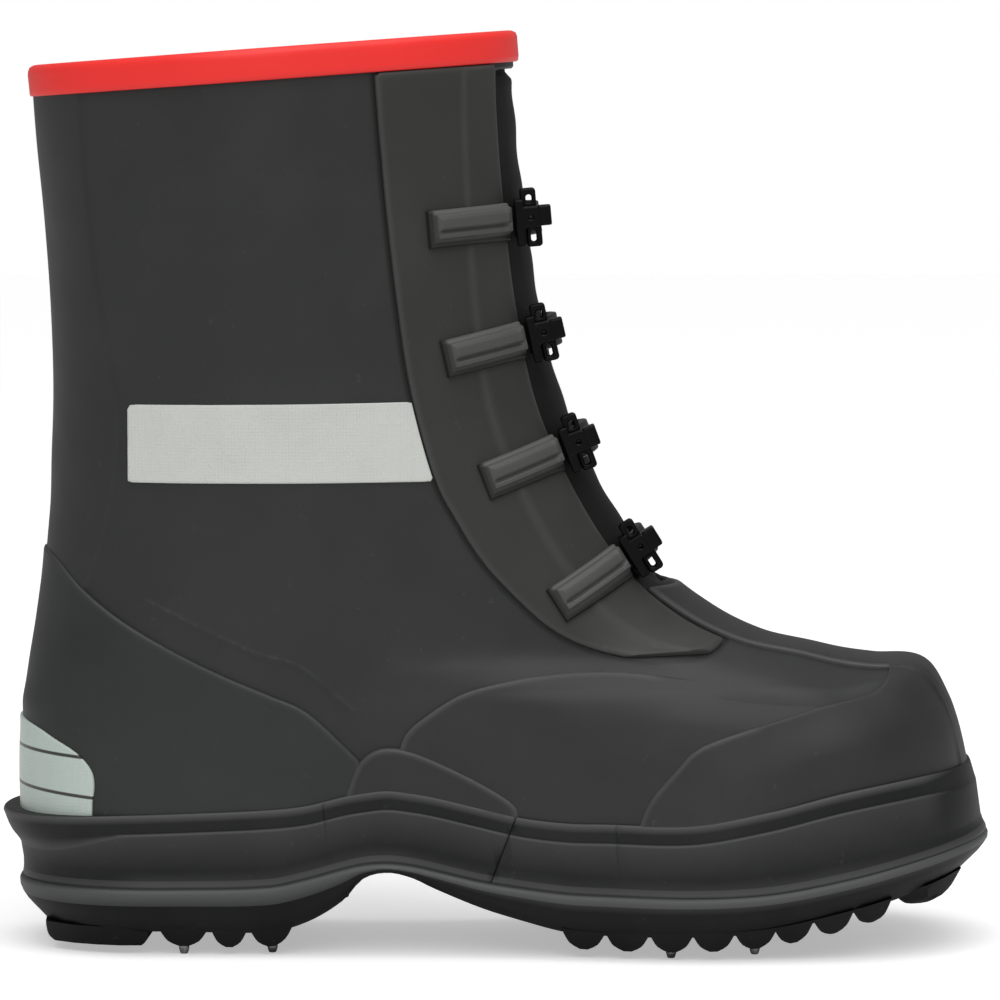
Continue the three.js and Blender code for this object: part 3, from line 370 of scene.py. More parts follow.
# Where the drawing's axes lie in the frame, from the first stud
FLOOR = z_of(SOLE_LINE["under"].min()) - LUG_DEPTH - STUD_REACH
stud_low, stud_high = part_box("stud_1")
first_x, first_y, _ = lug_centre(*LUG_STUDS[0])
SHIFT = np.array([
    (stud_low[0] + stud_high[0]) / 2 / MM - first_x,
    (stud_low[1] + stud_high[1]) / 2 / MM - first_y,
    stud_low[2] / MM - FLOOR,
])


# Meshes

NO_EDGE = 99.0


def piece(name, points, faces, materials, nodes, slot, sharp=55, marks=None):
    """A finished piece in the frame, from points in millimetres, that stands for its CAD nodes."""
    mesh = bpy.data.meshes.new(name)
    mesh.from_pydata((np.asarray(points) + SHIFT) * MM, [], [list(map(int, f)) for f in faces])
    mesh.validate()
    for mark, values in {"edge": np.full(len(points), NO_EDGE), **(marks or {})}.items():
        layer = mesh.attributes.new(mark, "FLOAT", "POINT")
        layer.data.foreach_set("value", np.asarray(values, np.float32))
    mesh.shade_smooth()
    mesh.set_sharp_from_angle(angle=math.radians(sharp))
    for material in materials:
        mesh.materials.append(material)
    obj = bpy.data.objects.new(name, mesh)
    bpy.context.scene.collection.objects.link(obj)
    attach(obj, "root")
    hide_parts(*nodes)
    return obj


def grid_faces(rows, columns):
    """Triangles of a grid whose points run column by column within each row."""
    i = np.arange(rows - 1)[:, None] * columns
    j = np.arange(columns - 1)[None]
    a, b, c, d = i + j, i + j + 1, i + columns + j + 1, i + columns + j
    return np.concatenate([np.stack(q, axis=-1).reshape(-1, 3) for q in ((a, b, c), (a, c, d))])


def place_grid(rows, columns):
    """Places of a grid as pairs, and its triangles."""
    places = np.stack(np.meshgrid(rows, columns, indexing="ij"), axis=-1).reshape(-1, 2)
    return places, grid_faces(len(rows), len(columns))


def split(places, faces, values, level, snap=0.05):
    """Cuts triangles along a level of their values, so that an edge follows it."""
    side = np.where(np.abs(values - level) < snap, 0, np.sign(values - level)).astype(int)
    values = np.where(side == 0, level, values)
    corner = side[faces]
    crossing = (corner.min(1) < 0) & (corner.max(1) > 0)
    kept, cut = faces[~crossing], faces[crossing]
    if len(cut) == 0:
        return places, faces, values
    edges = np.sort(np.concatenate([cut[:, [0, 1]], cut[:, [1, 2]], cut[:, [2, 0]]]), axis=1)
    edges = edges[side[edges[:, 0]] * side[edges[:, 1]] < 0]
    edges = np.unique(edges, axis=0)
    low, high = edges[:, 0], edges[:, 1]
    f = ((level - values[low]) / (values[high] - values[low]))[:, None]
    fresh = places[low] * (1 - f) + places[high] * f
    index = {tuple(e): len(places) + n for n, e in enumerate(edges.tolist())}
    made = []
    for a, b, c in cut.tolist():
        for _ in range(3):
            if side[a] == 0 or (side[a] != side[b] and side[a] != side[c] and side[b] == side[c]):
                break
            a, b, c = b, c, a
        if side[a] == 0:
            m = index[(min(b, c), max(b, c))]
            made += [(a, b, m), (a, m, c)]
        else:
            m = index[(min(a, b), max(a, b))]
            n = index[(min(a, c), max(a, c))]
            made += [(a, m, n), (m, b, c), (m, c, n)]
    values = np.r_[values, np.full(len(fresh), float(level))]
    return np.concatenate([places, fresh]), np.concatenate([kept, np.array(made, int)]), values


def cut_out(places, faces, field, levels):
    """The part of a grid where a field is positive, with edges along its levels."""
    values = field(places)
    for level in levels:
        places, faces, values = split(places, faces, values, level)
    faces = faces[values[faces].mean(1) > levels[0]]
    used, faces = np.unique(faces, return_inverse=True)
    return places[used], faces.reshape(-1, 3), values[used]


def etch(places, faces, values, field, levels):
    """More edges along the levels of another field, keeping the first field's values."""
    both = np.column_stack([places, values])
    other = field(places)
    for level in levels:
        both, faces, other = split(both, faces, other, level)
    return both[:, :-1], faces, both[:, -1]


def thicken(outer, inner, faces):
    """A closed wall between two layers of the same net."""
    count = len(outer)
    edges = np.concatenate([faces[:, [0, 1]], faces[:, [1, 2]], faces[:, [2, 0]]])
    keys = np.sort(edges, axis=1)
    _, first, counts = np.unique(keys, axis=0, return_index=True, return_counts=True)
    rim = edges[first[counts == 1]]
    a, b = rim[:, 0], rim[:, 1]
    walls = np.concatenate([
        np.stack([b, a, a + count], axis=1),
        np.stack([b, a + count, b + count], axis=1),
    ])
    back = faces[:, ::-1] + count
    return np.concatenate([outer, inner]), np.concatenate([faces, back, walls])


def catmull(points, steps=8):
    """A smooth line through points."""
    points = np.array(points, float)
    padded = np.vstack([points[:1], points, points[-1:]])
    line = []
    for i in range(len(points) - 1):
        p = padded[i:i + 4]
        for f in np.arange(steps) / steps:
            a = 2 * p[1] + (p[2] - p[0]) * f
            b = (2 * p[0] - 5 * p[1] + 4 * p[2] - p[3]) * f * f
            c = (3 * p[1] - p[0] - 3 * p[2] + p[3]) * f * f * f
            line.append((a + b + c) / 2)
    return np.array(line + [points[-1]])


def side_view(shares):
    """Points of the side view in millimetres, from shares."""
    shares = np.array(shares, float)
    return np.column_stack([x_of(shares[:, 0]), z_of(shares[:, 1])])


def inside(outline, points):
    """Distance of side-view points from an outline, positive within it."""
    start = outline
    along = np.roll(outline, -1, axis=0) - start
    nearest = np.full(len(points), np.inf)
    within = np.zeros(len(points), bool)
    for (x, z), (dx, dz) in zip(start, along):
        px, pz = points[:, 0] - x, points[:, 1] - z
        f = np.clip((px * dx + pz * dz) / (dx * dx + dz * dz + 1e-12), 0, 1)
        nearest = np.minimum(nearest, np.hypot(px - f * dx, pz - f * dz))
        if dz != 0:
            crosses = (pz < 0) != (pz - dz < 0)
            within ^= crosses & (px < pz * dx / dz)
    return np.where(within, nearest, -nearest)


def distance_to(line, points):
    """Distance of side-view points from an open line."""
    nearest = np.full(len(points), np.inf)
    for (x, z), (ex, ez) in zip(line[:-1], line[1:]):
        dx, dz = ex - x, ez - z
        px, pz = points[:, 0] - x, points[:, 1] - z
        f = np.clip((px * dx + pz * dz) / (dx * dx + dz * dz + 1e-12), 0, 1)
        nearest = np.minimum(nearest, np.hypot(px - f * dx, pz - f * dz))
    return nearest


# Outlines are closed round outside the shoe; the cap's runs over the toe
FAR = LENGTH * 0.6
LOW = -30.0
HIGH = COLLAR_HEIGHT * 0.6


def closed(edge, *corners):
    """A panel's edge as a smooth line, closed through corners outside the shoe."""
    return np.vstack([catmull(side_view(edge)), corners])


def beneath(share):
    """A corner below the shoe."""
    return [x_of(share), LOW]


facing_outline = closed(FACING_BACK, *side_view([(0.74, 0.5), (0.62, 1.1), (0.4, 1.1)]))
counter_outline = closed(
    COUNTER_TOP, beneath(COUNTER_TOP[-1][0]), [-FAR, LOW], [-FAR, z_of(COUNTER_TOP[0][1])],
)
shank_outline = closed(SHANK_TOP, beneath(SHANK_TOP[-1][0]), beneath(SHANK_TOP[0][0]))
vamp_outline = closed(VAMP_TOP, beneath(VAMP_TOP[-1][0]), beneath(VAMP_TOP[0][0]))
cap_outline = closed(
    CAP_EDGE, [x_of(CAP_EDGE[-1][0]), HIGH], [FAR, HIGH], [FAR, LOW], beneath(CAP_EDGE[0][0]),
)
side_reflector_outline = side_view(SIDE_REFLECTOR)
heel_reflector_outline = closed(
    HEEL_REFLECTOR, beneath(0.09), [-FAR, LOW], [-FAR, z_of(HEEL_REFLECTOR[0][1])],
)


def xz(points):
    return points[:, [0, 2]]


def above_foxing(points, margin):
    return points[:, 2] - sole_line("foxing", points[:, 0]) - margin


def from_centre(places, points):
    """Distance across from the front line, which lies over the toe's own centre."""
    centre = read_net(NET, places[:, 0], np.zeros(len(places)))[:, 1]
    return np.abs(points[:, 1] - centre)


def below_binding(points):
    """Distance below the lower edge of the collar's binding."""
    heel, front = read_net(NET, np.array([BAND, BAND]), np.array([-1.0, 0.0]))
    edge = heel[2] + (front[2] - heel[2]) * (points[:, 0] - heel[0]) / (front[0] - heel[0])
    return edge - GAP - points[:, 2]


def even_columns(count, gather=0.4):
    """Columns round the shoe from the heel, gathered a little at its two ends."""
    s = np.arange(count) * 2 / count - 1
    return s - gather / (2 * math.pi) * np.sin(2 * math.pi * s)


def patch(t_range, s_range, t_step=0.08, s_step=0.006):
    """A grid of places on the skin."""
    t = np.linspace(*t_range, max(int((t_range[1] - t_range[0]) / t_step), 2))
    s = np.linspace(*s_range, max(int((s_range[1] - s_range[0]) / s_step), 2))
    return place_grid(t, s)


# How a panel's edge rounds over: distance in from the edge, and the share of its height there
EDGE_LEVELS = (0.0, 0.25, 0.7, 1.3)


def edge_height(distance, height, radius=EDGE_LEVELS[-1], foot=0.35):
    f = np.clip(distance / radius, 0, 1)
    return height * (foot + (1 - foot) * np.sqrt(1 - (1 - f) ** 2))


def panel(name, grid, field, height, material, node, base=GAP, levels=EDGE_LEVELS, relief=None,
          slot="upper_rubber", sunk=0.5, flexes=True):
    """A laid panel: a grid of places cut to a field of distances, with rounded edges."""
    def measured(where):
        return field(where, on_skin(where, base + height / 2))

    places, faces, values = cut_out(*grid, measured, levels)
    lift = base + edge_height(values, height, levels[-1])
    if relief:
        places, faces, values, lift = relief(places, faces, values, lift)
    flex = dents(on_skin(places)) if flexes else 0
    outer = on_skin(places, lift + flex)
    inner = on_skin(places, base - sunk + flex)
    points, faces = thicken(outer, inner, faces)
    # The distances from the edge also paint a highlight along the panel's edge.
    piece(name, points, faces, [material], [node], slot, marks={"edge": np.r_[values, values]})


# Materials

def socket_group(name, inputs, outputs):
    """An empty shader node group with named inputs and outputs."""
    tree = bpy.data.node_groups.new(name, "ShaderNodeTree")
    for label, kind, value in inputs:
        made = tree.interface.new_socket(label, in_out="INPUT", socket_type=kind)
        made.default_value = value
    for label, kind in outputs:
        tree.interface.new_socket(label, in_out="OUTPUT", socket_type=kind)
    return tree


def plug(tree, socket, value):
    """Gives an input a value, or links another node's output to it."""
    if isinstance(value, bpy.types.NodeSocket):
        tree.links.new(value, socket)
    else:
        socket.default_value = value


def add_node(tree, kind, inputs=None, **settings):
    """One node, its settings, and its inputs by name or number."""
    node = tree.nodes.new(kind)
    for key, value in settings.items():
        setattr(node, key, value)
    for key, value in (inputs or {}).items():
        plug(tree, node.inputs[key], value)
    return node


def ramp(tree, factor, low, high, low_value=0.0, high_value=1.0):
    """A factor moved from one range to another."""
    node = add_node(tree, "ShaderNodeMapRange", {
        "Value": factor, "From Min": low, "From Max": high, "To Min": low_value, "To Max": high_value,
    })
    return node.outputs["Result"]


def mix_colour(tree, factor, first, second):
    node = add_node(tree, "ShaderNodeMix", {0: factor, 6: first, 7: second}, data_type="RGBA")
    return node.outputs[2]


def arithmetic(tree, operation, *values):
    return add_node(tree, "ShaderNodeMath", dict(enumerate(values)), operation=operation).outputs[0]


def noise(tree, vector, scale, detail=2.0, roughness=0.5):
    node = add_node(tree, "ShaderNodeTexNoise", {
        "Vector": vector, "Scale": scale, "Detail": detail, "Roughness": roughness,
    })
    return node.outputs["Fac"]


def moulded_rubber():
    """Cured rubber: faint grain and mould waviness, cloudy bloom, a painted highlight along edges and
    painted shade where marked.
    """
    tree = socket_group(
        "moulded rubber",
        [
            ("Vector", "NodeSocketVector", (0, 0, 0)),
            ("Colour", "NodeSocketColor", (0.05, 0.05, 0.05, 1)),
            ("Bloom", "NodeSocketFloat", 0.3),
            ("Edge", "NodeSocketFloat", NO_EDGE),
            ("Edge Highlight", "NodeSocketFloat", 0.4),
            ("Painted Shade", "NodeSocketFloat", 0.0),
            ("Roughness", "NodeSocketFloat", 0.5),
        ],
        [("Colour", "NodeSocketColor"), ("Roughness", "NodeSocketFloat"), ("Height", "NodeSocketFloat")],
    )
    start = add_node(tree, "NodeGroupInput").outputs
    grain = noise(tree, start["Vector"], 1400.0, 3.0, 0.6)
    cloud = noise(tree, start["Vector"], 22.0, 4.0, 0.6)
    wave = noise(tree, start["Vector"], 45.0, 1.0, 0.4)
    speck = ramp(tree, noise(tree, start["Vector"], 260.0, 2.0, 0.7), 0.68, 0.78)
    bloom = arithmetic(tree, "MULTIPLY", ramp(tree, cloud, 0.42, 0.72), start["Bloom"])
    pale = mix_colour(tree, bloom, start["Colour"], (0.16, 0.165, 0.16, 1))
    # Painted highlight: paler within about 2 mm of a marked edge, as if its rounded edge caught the light.
    edge = ramp(tree, start["Edge"], 0.2, 2.2, 1.0, 0.0)
    edge = arithmetic(tree, "MULTIPLY", edge, start["Edge Highlight"])
    pale = mix_colour(tree, edge, pale, (0.2, 0.205, 0.2, 1))
    dust = arithmetic(tree, "MULTIPLY", speck, 0.05)
    pale = mix_colour(tree, dust, pale, (0.3, 0.3, 0.29, 1))
    # Painted shade: darkened towards near black where the shade mark is set.
    hollow = arithmetic(tree, "MULTIPLY", start["Painted Shade"], 0.85)
    pale = mix_colour(tree, hollow, pale, (0.001, 0.001, 0.001, 1))
    rough = arithmetic(tree, "ADD", start["Roughness"], ramp(tree, cloud, 0.3, 0.75, -0.06, 0.08))
    height = arithmetic(tree, "ADD", arithmetic(tree, "MULTIPLY", grain, 0.06), wave)
    end = add_node(tree, "NodeGroupOutput").inputs
    tree.links.new(pale, end["Colour"])
    tree.links.new(rough, end["Roughness"])
    tree.links.new(height, end["Height"])
    return tree


RUBBER = moulded_rubber()


def new_material(name):
    """A material, its tree and the inputs of its shader."""
    material = bpy.data.materials.new(name)
    material.use_nodes = True
    tree = material.node_tree
    return material, tree, tree.nodes["Principled BSDF"].inputs


def place_in(tree):
    return add_node(tree, "ShaderNodeTexCoord").outputs["Object"]


def surface(tree, shader, colour, roughness, height, depth):
    """Connects a material's colour, roughness and fine relief."""
    relief = add_node(tree, "ShaderNodeBump", {"Height": height, "Distance": depth})
    plug(tree, shader["Base Color"], colour)
    plug(tree, shader["Roughness"], roughness)
    plug(tree, shader["Normal"], relief.outputs["Normal"])


def rubber(name, colour, roughness, bloom=0.05, edge_highlight=0.22, gloss=0.38):
    """A rubber finish from the moulded rubber group."""
    material, tree, shader = new_material(name)
    edge, painted_shade = (
        add_node(tree, "ShaderNodeAttribute", attribute_name=mark).outputs["Fac"]
        for mark in ("edge", "painted_shade")
    )
    look = add_node(tree, "ShaderNodeGroup", {
        "Vector": place_in(tree), "Colour": (*colour, 1), "Bloom": bloom, "Edge": edge,
        "Edge Highlight": edge_highlight, "Painted Shade": painted_shade, "Roughness": roughness,
    }, node_tree=RUBBER).outputs
    surface(tree, shader, look["Colour"], look["Roughness"], look["Height"], 0.0006)
    shader["Specular IOR Level"].default_value = gloss
    return material


UPPER_RUBBER = rubber("upper rubber", (0.0225, 0.0235, 0.023), 0.5)
FACING_RUBBER = rubber("facing rubber", (0.03, 0.03, 0.028), 0.52, edge_highlight=0.12)
PANEL_RUBBER = rubber("panel rubber", (0.0225, 0.0235, 0.0225), 0.5)
COUNTER_RUBBER = rubber("counter rubber", (0.0225, 0.024, 0.0235), 0.5, edge_highlight=0.09)
TAB_RUBBER = rubber("tab rubber", (0.072, 0.072, 0.068), 0.5)
SOLE_RUBBER = rubber("sole rubber", (0.009, 0.0098, 0.0095), 0.5, edge_highlight=0.3, gloss=0.26)
# A lighter copy of the sole's black rubber for the band under the rim: painted light where it faces up.
PAINTED_LIGHT_RIM_MATERIAL = rubber("rim painted lit", (0.026, 0.028, 0.0275), 0.5, edge_highlight=0.3)
TREAD_RUBBER = rubber("tread rubber", (0.003, 0.0032, 0.0032), 0.5, edge_highlight=0.2, gloss=0.2)
# The gusset's near-black colour paints the shade of the recess between the facings.
PAINTED_SHADE_GUSSET = rubber("gusset in painted shade", (0.003, 0.003, 0.003), 0.6, gloss=0.28)
BUCKLE_RUBBER = rubber("buckle rubber", (0.001, 0.001, 0.0012), 0.4, bloom=0.0, edge_highlight=0.05, gloss=0.15)
RED_RUBBER = rubber("red rubber", (1.0, 0.035, 0.03), 0.45, bloom=0.0, edge_highlight=0.0)


def lining():
    """Knitted cotton lining, as loops in rows."""
    material, tree, shader = new_material("knit lining")
    place = place_in(tree)
    rows, stitches = (
        add_node(tree, "ShaderNodeTexWave", {"Vector": place, "Scale": scale, "Distortion": distortion},
                 bands_direction=direction).outputs["Fac"]
        for scale, distortion, direction in ((260.0, 1.5, "Z"), (210.0, 1.0, "DIAGONAL"))
    )
    knit = arithmetic(tree, "MULTIPLY", rows, stitches)
    height = arithmetic(tree, "ADD", knit, noise(tree, place, 900.0, 3.0, 0.7))
    colour = mix_colour(tree, knit, (0.006, 0.006, 0.0065, 1), (0.022, 0.022, 0.023, 1))
    surface(tree, shader, colour, 0.95, height, 0.0004)
    shader["Sheen Weight"].default_value = 0.15
    return material


def felt():
    """Pressed felt with matted fibres."""
    material, tree, shader = new_material("pressed felt")
    place = place_in(tree)
    matting = ramp(tree, noise(tree, place, 60.0, 3.0, 0.6), 0.35, 0.7)
    colour = mix_colour(tree, matting, (0.045, 0.045, 0.047, 1), (0.09, 0.09, 0.09, 1))
    surface(tree, shader, colour, 1.0, noise(tree, place, 700.0, 6.0, 0.75), 0.0006)
    shader["Sheen Weight"].default_value = 0.3
    return material


def reflective(name, colour, lines=()):
    """Reflective film: fine honeycomb cells under a satin face, and dark printed lines."""
    material, tree, shader = new_material(name)
    place = place_in(tree)
    cells = add_node(tree, "ShaderNodeTexVoronoi", {"Vector": place, "Scale": 900.0, "Randomness": 0.25},
                     feature="DISTANCE_TO_EDGE")
    walls = ramp(tree, cells.outputs["Distance"], 0.02, 0.09)
    soil = ramp(tree, noise(tree, place, 30.0, 5.0, 0.65), 0.4, 0.75)
    shade = mix_colour(tree, walls, tuple(0.96 * c for c in colour) + (1,), (*colour, 1))
    shade = mix_colour(tree, arithmetic(tree, "MULTIPLY", soil, 0.16), shade, (0.3, 0.31, 0.3, 1))
    axes = add_node(tree, "ShaderNodeSeparateXYZ", {"Vector": place}).outputs
    for height, slope, width in lines:
        bend = arithmetic(tree, "MULTIPLY", axes["X"], slope)
        level = arithmetic(tree, "SUBTRACT", arithmetic(tree, "ADD", axes["Z"], bend), height)
        beside = ramp(tree, arithmetic(tree, "ABSOLUTE", level), width, width + 0.0003)
        shade = mix_colour(tree, beside, (0.03, 0.032, 0.03, 1), shade)
    surface(tree, shader, shade, ramp(tree, soil, 0.0, 1.0, 0.32, 0.5), walls, 0.00006)
    shader["Coat Weight"].default_value = 0.25
    shader["Coat Roughness"].default_value = 0.2
    return material


def stud_steel():
    """Worn hard steel with scratches and dull pits."""
    material, tree, shader = new_material("stud steel")
    place = place_in(tree)
    scratch = noise(tree, place, 2500.0, 4.0, 0.7)
    stained = ramp(tree, noise(tree, place, 500.0, 3.0, 0.6), 0.4, 0.7)
    colour = mix_colour(tree, stained, (0.42, 0.42, 0.43, 1), (0.2, 0.19, 0.18, 1))
    surface(tree, shader, colour, ramp(tree, scratch, 0.3, 0.7, 0.28, 0.5), scratch, 0.00008)
    shader["Metallic"].default_value = 1.0
    return material


LINING = lining()
FELT = felt()
SIDE_FILM = reflective("side reflective film", (0.68, 0.7, 0.66))
HEEL_FILM = reflective(
    "heel reflective film", (0.56, 0.65, 0.6),
    lines=((0.0567, 0.07, 0.0004), (0.0416, 0.085, 0.0004)),
)
STEEL = stud_steel()


# The upper

def slot_half(t):
    """Half width of the front opening, which ends round at its foot."""
    return opening_half(t) * (0.45 + 0.55 * np.sqrt(np.clip((t - OPENING_FOOT) / 0.6, 0, 1)))


def slot_distance(places, points):
    """Distance outside the front opening."""
    t = places[:, 0]
    at_back = np.where(np.abs(places[:, 1]) > 0.5, NO_EDGE, 0.0)
    beside = from_centre(places, points) - slot_half(t) + at_back
    below = (OPENING_FOOT - t) * 20
    above = (t - BAND + 0.1) * 25
    return np.maximum.reduce([beside, below, above])


UPPER_ROWS = 110
UPPER_COLUMNS = 300
# Raised stay up the back, and a faint ridge above the counter's edge, in side-view millimetres
STAY_RISE = 0.6
STAY_SLOPE = 0.9
RIDGE_RISE = 0.55
RIDGE_HALF = 0.75
RIDGE_POINTS = [(-116, 118.5), (-96.1, 108.7), (-78.2, 100.8), (-63.7, 96.4), (-46.7, 81.9)]
stay_outline = closed(BACK_STAY, [-FAR, z_of(BACK_STAY[-1][1])], [-FAR, z_of(BACK_STAY[0][1])])
ridge_line = catmull(RIDGE_POINTS)
ridge_outline = np.vstack([
    ridge_line, [[RIDGE_POINTS[-1][0], LOW], [-FAR, LOW], [-FAR, RIDGE_POINTS[0][1]]],
])


# Soft hollows and swells that a rubber shaft takes where it flexes, placed one by one: middle along,
# across and up, reach along and up, tilt in degrees, and how far the skin rises
FLEX = [
    (-20, -50, 128, 26, 15, 20, -1.0), (-22, 50, 128, 26, 15, 20, -1.0),
    (-2, -50, 148, 20, 12, 35, 0.7), (-2, 50, 148, 20, 12, 35, 0.7),
    (-60, -52, 142, 34, 10, -8, -0.5), (-60, 52, 142, 34, 10, -8, -0.5),
    (-100, -50, 205, 30, 40, 0, -0.5), (-100, 50, 205, 30, 40, 0, -0.5),
    (-60, -55, 240, 30, 34, 0, 0.5), (-60, 55, 240, 30, 34, 0, 0.5),
    (-140, 0, 150, 22, 11, 0, -0.7), (64, -50, 82, 38, 15, -10, 1.1), (64, 50, 82, 38, 15, -10, 1.1),
    (117, -30, 92, 15, 6.5, -10, -2.4), (117, 34, 92, 15, 6.5, -10, -2.4),
    (92, -30, 97, 22, 5, -10, -0.7), (92, 34, 97, 22, 5, -10, -0.7),
]
FLEX_SIDE_REACH = 40


def dents(points):
    """How far the flexed rubber rises or sinks at points."""
    x, y, z = points.T
    total = np.zeros(len(points))
    for cx, cy, cz, long, wide, tilt, depth in FLEX:
        angle = math.radians(tilt)
        u = (x - cx) * math.cos(angle) + (z - cz) * math.sin(angle)
        v = -(x - cx) * math.sin(angle) + (z - cz) * math.cos(angle)
        near = np.exp(-((y - cy) / FLEX_SIDE_REACH) ** 2)
        total += depth * near * np.exp(-(u / long) ** 2 - (v / wide) ** 2)
    return total


def upper_wall():
    """The upper's wall with its stay, ridge and flex hollows, and a painted shadow along the facings'
    edges.
    """
    columns = np.append(even_columns(UPPER_COLUMNS), 1.0)
    places, faces = place_grid(np.linspace(0, TOP, UPPER_ROWS), columns)

    def field(where):
        points = on_skin(where)
        return np.minimum(slot_distance(where, points), points[:, 2] - deck(points[:, 0]) - GAP)

    def within(outline):
        return lambda where: inside(outline, xz(on_skin(where)))

    places, faces, edge = cut_out(places, faces, field, (0.0, 0.4, 1.0))
    for outline, levels in (
        (stay_outline, (0.0, STAY_SLOPE)),
        (ridge_outline, (-1.0, 0.0, 1.0)),
        (facing_outline, (-2.4, -1.0)),
    ):
        places, faces, edge = etch(places, faces, edge, within(outline), levels)
    points = on_skin(places)
    # Painted shadow: the upper darkens from 2.4 mm outside the facings' edges inwards, as shade cast by
    # them.
    painted_shade = ease(-2.4, -1.0, inside(facing_outline, xz(points)))
    rounding = -0.6 * np.clip(1 - edge, 0, 1) ** 2
    stay = STAY_RISE * ease(0, STAY_SLOPE, inside(stay_outline, xz(points)))
    ridge = RIDGE_RISE * np.exp(-(distance_to(ridge_line, xz(points)) / RIDGE_HALF) ** 2)
    outer = on_skin(places, rounding + stay + ridge + dents(points))
    inner = on_skin(places, -WALL - rounding + dents(points) * 0.8)
    return thicken_welded(outer, inner, faces, painted_shade)


def thicken_welded(outer, inner, faces, painted_shade):
    """Thickens a net whose first and last columns meet at the heel, joining them first."""
    _, first, back = np.unique(np.round(outer, 3), axis=0, return_index=True, return_inverse=True)
    faces = first[back.reshape(-1)][faces]
    used, faces = np.unique(faces, return_inverse=True)
    faces = faces.reshape(-1, 3)
    distinct = (faces != np.roll(faces, 1, axis=1)).all(axis=1)
    points, faces = thicken(outer[used], inner[used], faces[distinct])
    return points, faces, np.r_[painted_shade[used], np.zeros(len(used))]


def build_upper():
    points, faces, painted_shade = upper_wall()
    obj = piece("upper_shell", points, faces, [UPPER_RUBBER, LINING], ["upper"], "upper_rubber",
                marks={"painted_shade": painted_shade})
    lined = (faces >= len(points) // 2).all(axis=1)
    obj.data.polygons.foreach_set("material_index", lined.astype(np.int32))


# Panels laid on the upper

def facing_field(places, points):
    """Distance within a facing, whose lower end runs on under the toe strip."""
    beside = from_centre(places, points) - opening_half(places[:, 0]) - FLAP_EDGE
    beside = np.where(places[:, 0] < 7.6, -5.0, beside)
    return np.minimum.reduce([inside(facing_outline, xz(points)), beside, below_binding(points)])


SEAM_IN = 12.0
SEAM_WIDTH = 0.9
SEAM_RISE = 0.45


def facing_relief(places, faces, values, lift):
    """A second rubber strip lies along the facing's front edge."""
    def strip(where):
        points = on_skin(where)
        return SEAM_IN - (from_centre(where, points) - opening_half(where[:, 0]) - FLAP_EDGE)

    places, faces, edge = etch(places, faces, values, strip, (0.0, SEAM_WIDTH, SEAM_WIDTH + 1.2))
    across = strip(places)
    rise = SEAM_RISE * ease(0, SEAM_WIDTH, across)
    lift = GAP + edge_height(edge, PANEL) + rise * ease(0, 1.5, edge)
    # The returned distances also paint a highlight along the strip's edge.
    return places, faces, np.minimum(edge, np.abs(across - 0.6) + 0.9), lift


def build_facings():
    for side, s_range in (("outer", (-0.62, -0.02)), ("inner", (0.02, 0.62))):
        panel(f"facing_{side}_rubber", patch((6.8, BAND), s_range), facing_field, PANEL, FACING_RUBBER,
              f"facing_{side}", relief=facing_relief, slot="facing_rubber")


def laid_down_to_foxing(outline, margin=-2):
    """The field of a panel within an outline, whose foot is hidden by the foxing."""
    return lambda places, points: np.minimum(inside(outline, xz(points)), above_foxing(points, margin))


def build_counter():
    panel("heel_counter_rubber", patch((0.8, 11.5), (0.3, 1.7), 0.09), laid_down_to_foxing(counter_outline),
          PANEL, COUNTER_RUBBER, "heel_counter", sunk=0.45, flexes=False)


VAMP_EDGE_SHOWS = -28.4
VAMP_RUNS_OUT = (42, 78)


def shank_relief(places, faces, values, lift):
    """The vamp panel's edge shows faintly through the patch."""
    def behind(where):
        return on_skin(where)[:, 0] - VAMP_EDGE_SHOWS

    places, faces, values = etch(places, faces, values, behind, (-1.0, 0.0, 1.0))
    rise = 0.2 * np.exp(-(behind(places) / 0.8) ** 2) * ease(0, 1.5, values)
    return places, faces, values, GAP + edge_height(values, SHANK_PATCH) + rise


def vamp_relief(places, faces, values, lift):
    """The panel's upper edge runs out towards the toe."""
    out = ease(*VAMP_RUNS_OUT, on_skin(places)[:, 0])
    sunk = (lift + 0.25) * out * ease(15, 2, values)
    # Its painted edge highlight fades out with it.
    return places, faces, np.maximum(values, 6 * out), lift - sunk


def build_vamp():
    for side, s_range in (("outer", (-0.75, -0.06)), ("inner", (0.06, 0.75))):
        panel(f"vamp_panel_{side}_rubber", patch((0.8, 9), s_range), laid_down_to_foxing(vamp_outline),
              VAMP_PANEL, PANEL_RUBBER, f"vamp_panel_{side}", relief=vamp_relief)
        panel(f"shank_patch_{side}_rubber", patch((0.8, 8), s_range), laid_down_to_foxing(shank_outline),
              SHANK_PATCH, PANEL_RUBBER, f"shank_patch_{side}", relief=shank_relief)


# Ridge and groove of the toe strip's long edge, and where they fade out at the front of the toe
STRIP_FADE = 154
STRIP_RIDGE = 0.8
STRIP_GROOVE = 0.35
GROOVE_IN = 3.3
# Over how much of the cap its edge lies flush: beside the strip, and forwards along the shoe
CREST_RUN = 16
FLUSH_BESIDE = (-18, -1)
FLUSH_ALONG = (72, 110)


def in_strip(where):
    return BALL_WIDTH * STRIP_HALF - from_centre(where, on_skin(where))


def strip_edge(places, faces, values):
    """Edges along the strip, the distance in from its long edge, and how strongly it still shows."""
    places, faces, values = etch(places, faces, values, in_strip, (0.0, 0.7, 2.6, GROOVE_IN, 4.0))
    fade = ease(STRIP_FADE, STRIP_FADE - 10, on_skin(places)[:, 0])
    return places, faces, values, in_strip(places), fade * ease(0, 1.5, values)


def groove(across):
    return -STRIP_GROOVE * np.exp(-((across - GROOVE_IN) / 0.5) ** 2)


def strip_relief(places, faces, values, lift):
    places, faces, values, across, shows = strip_edge(places, faces, values)
    return places, faces, values, GAP + edge_height(values, PANEL) + groove(across) * shows


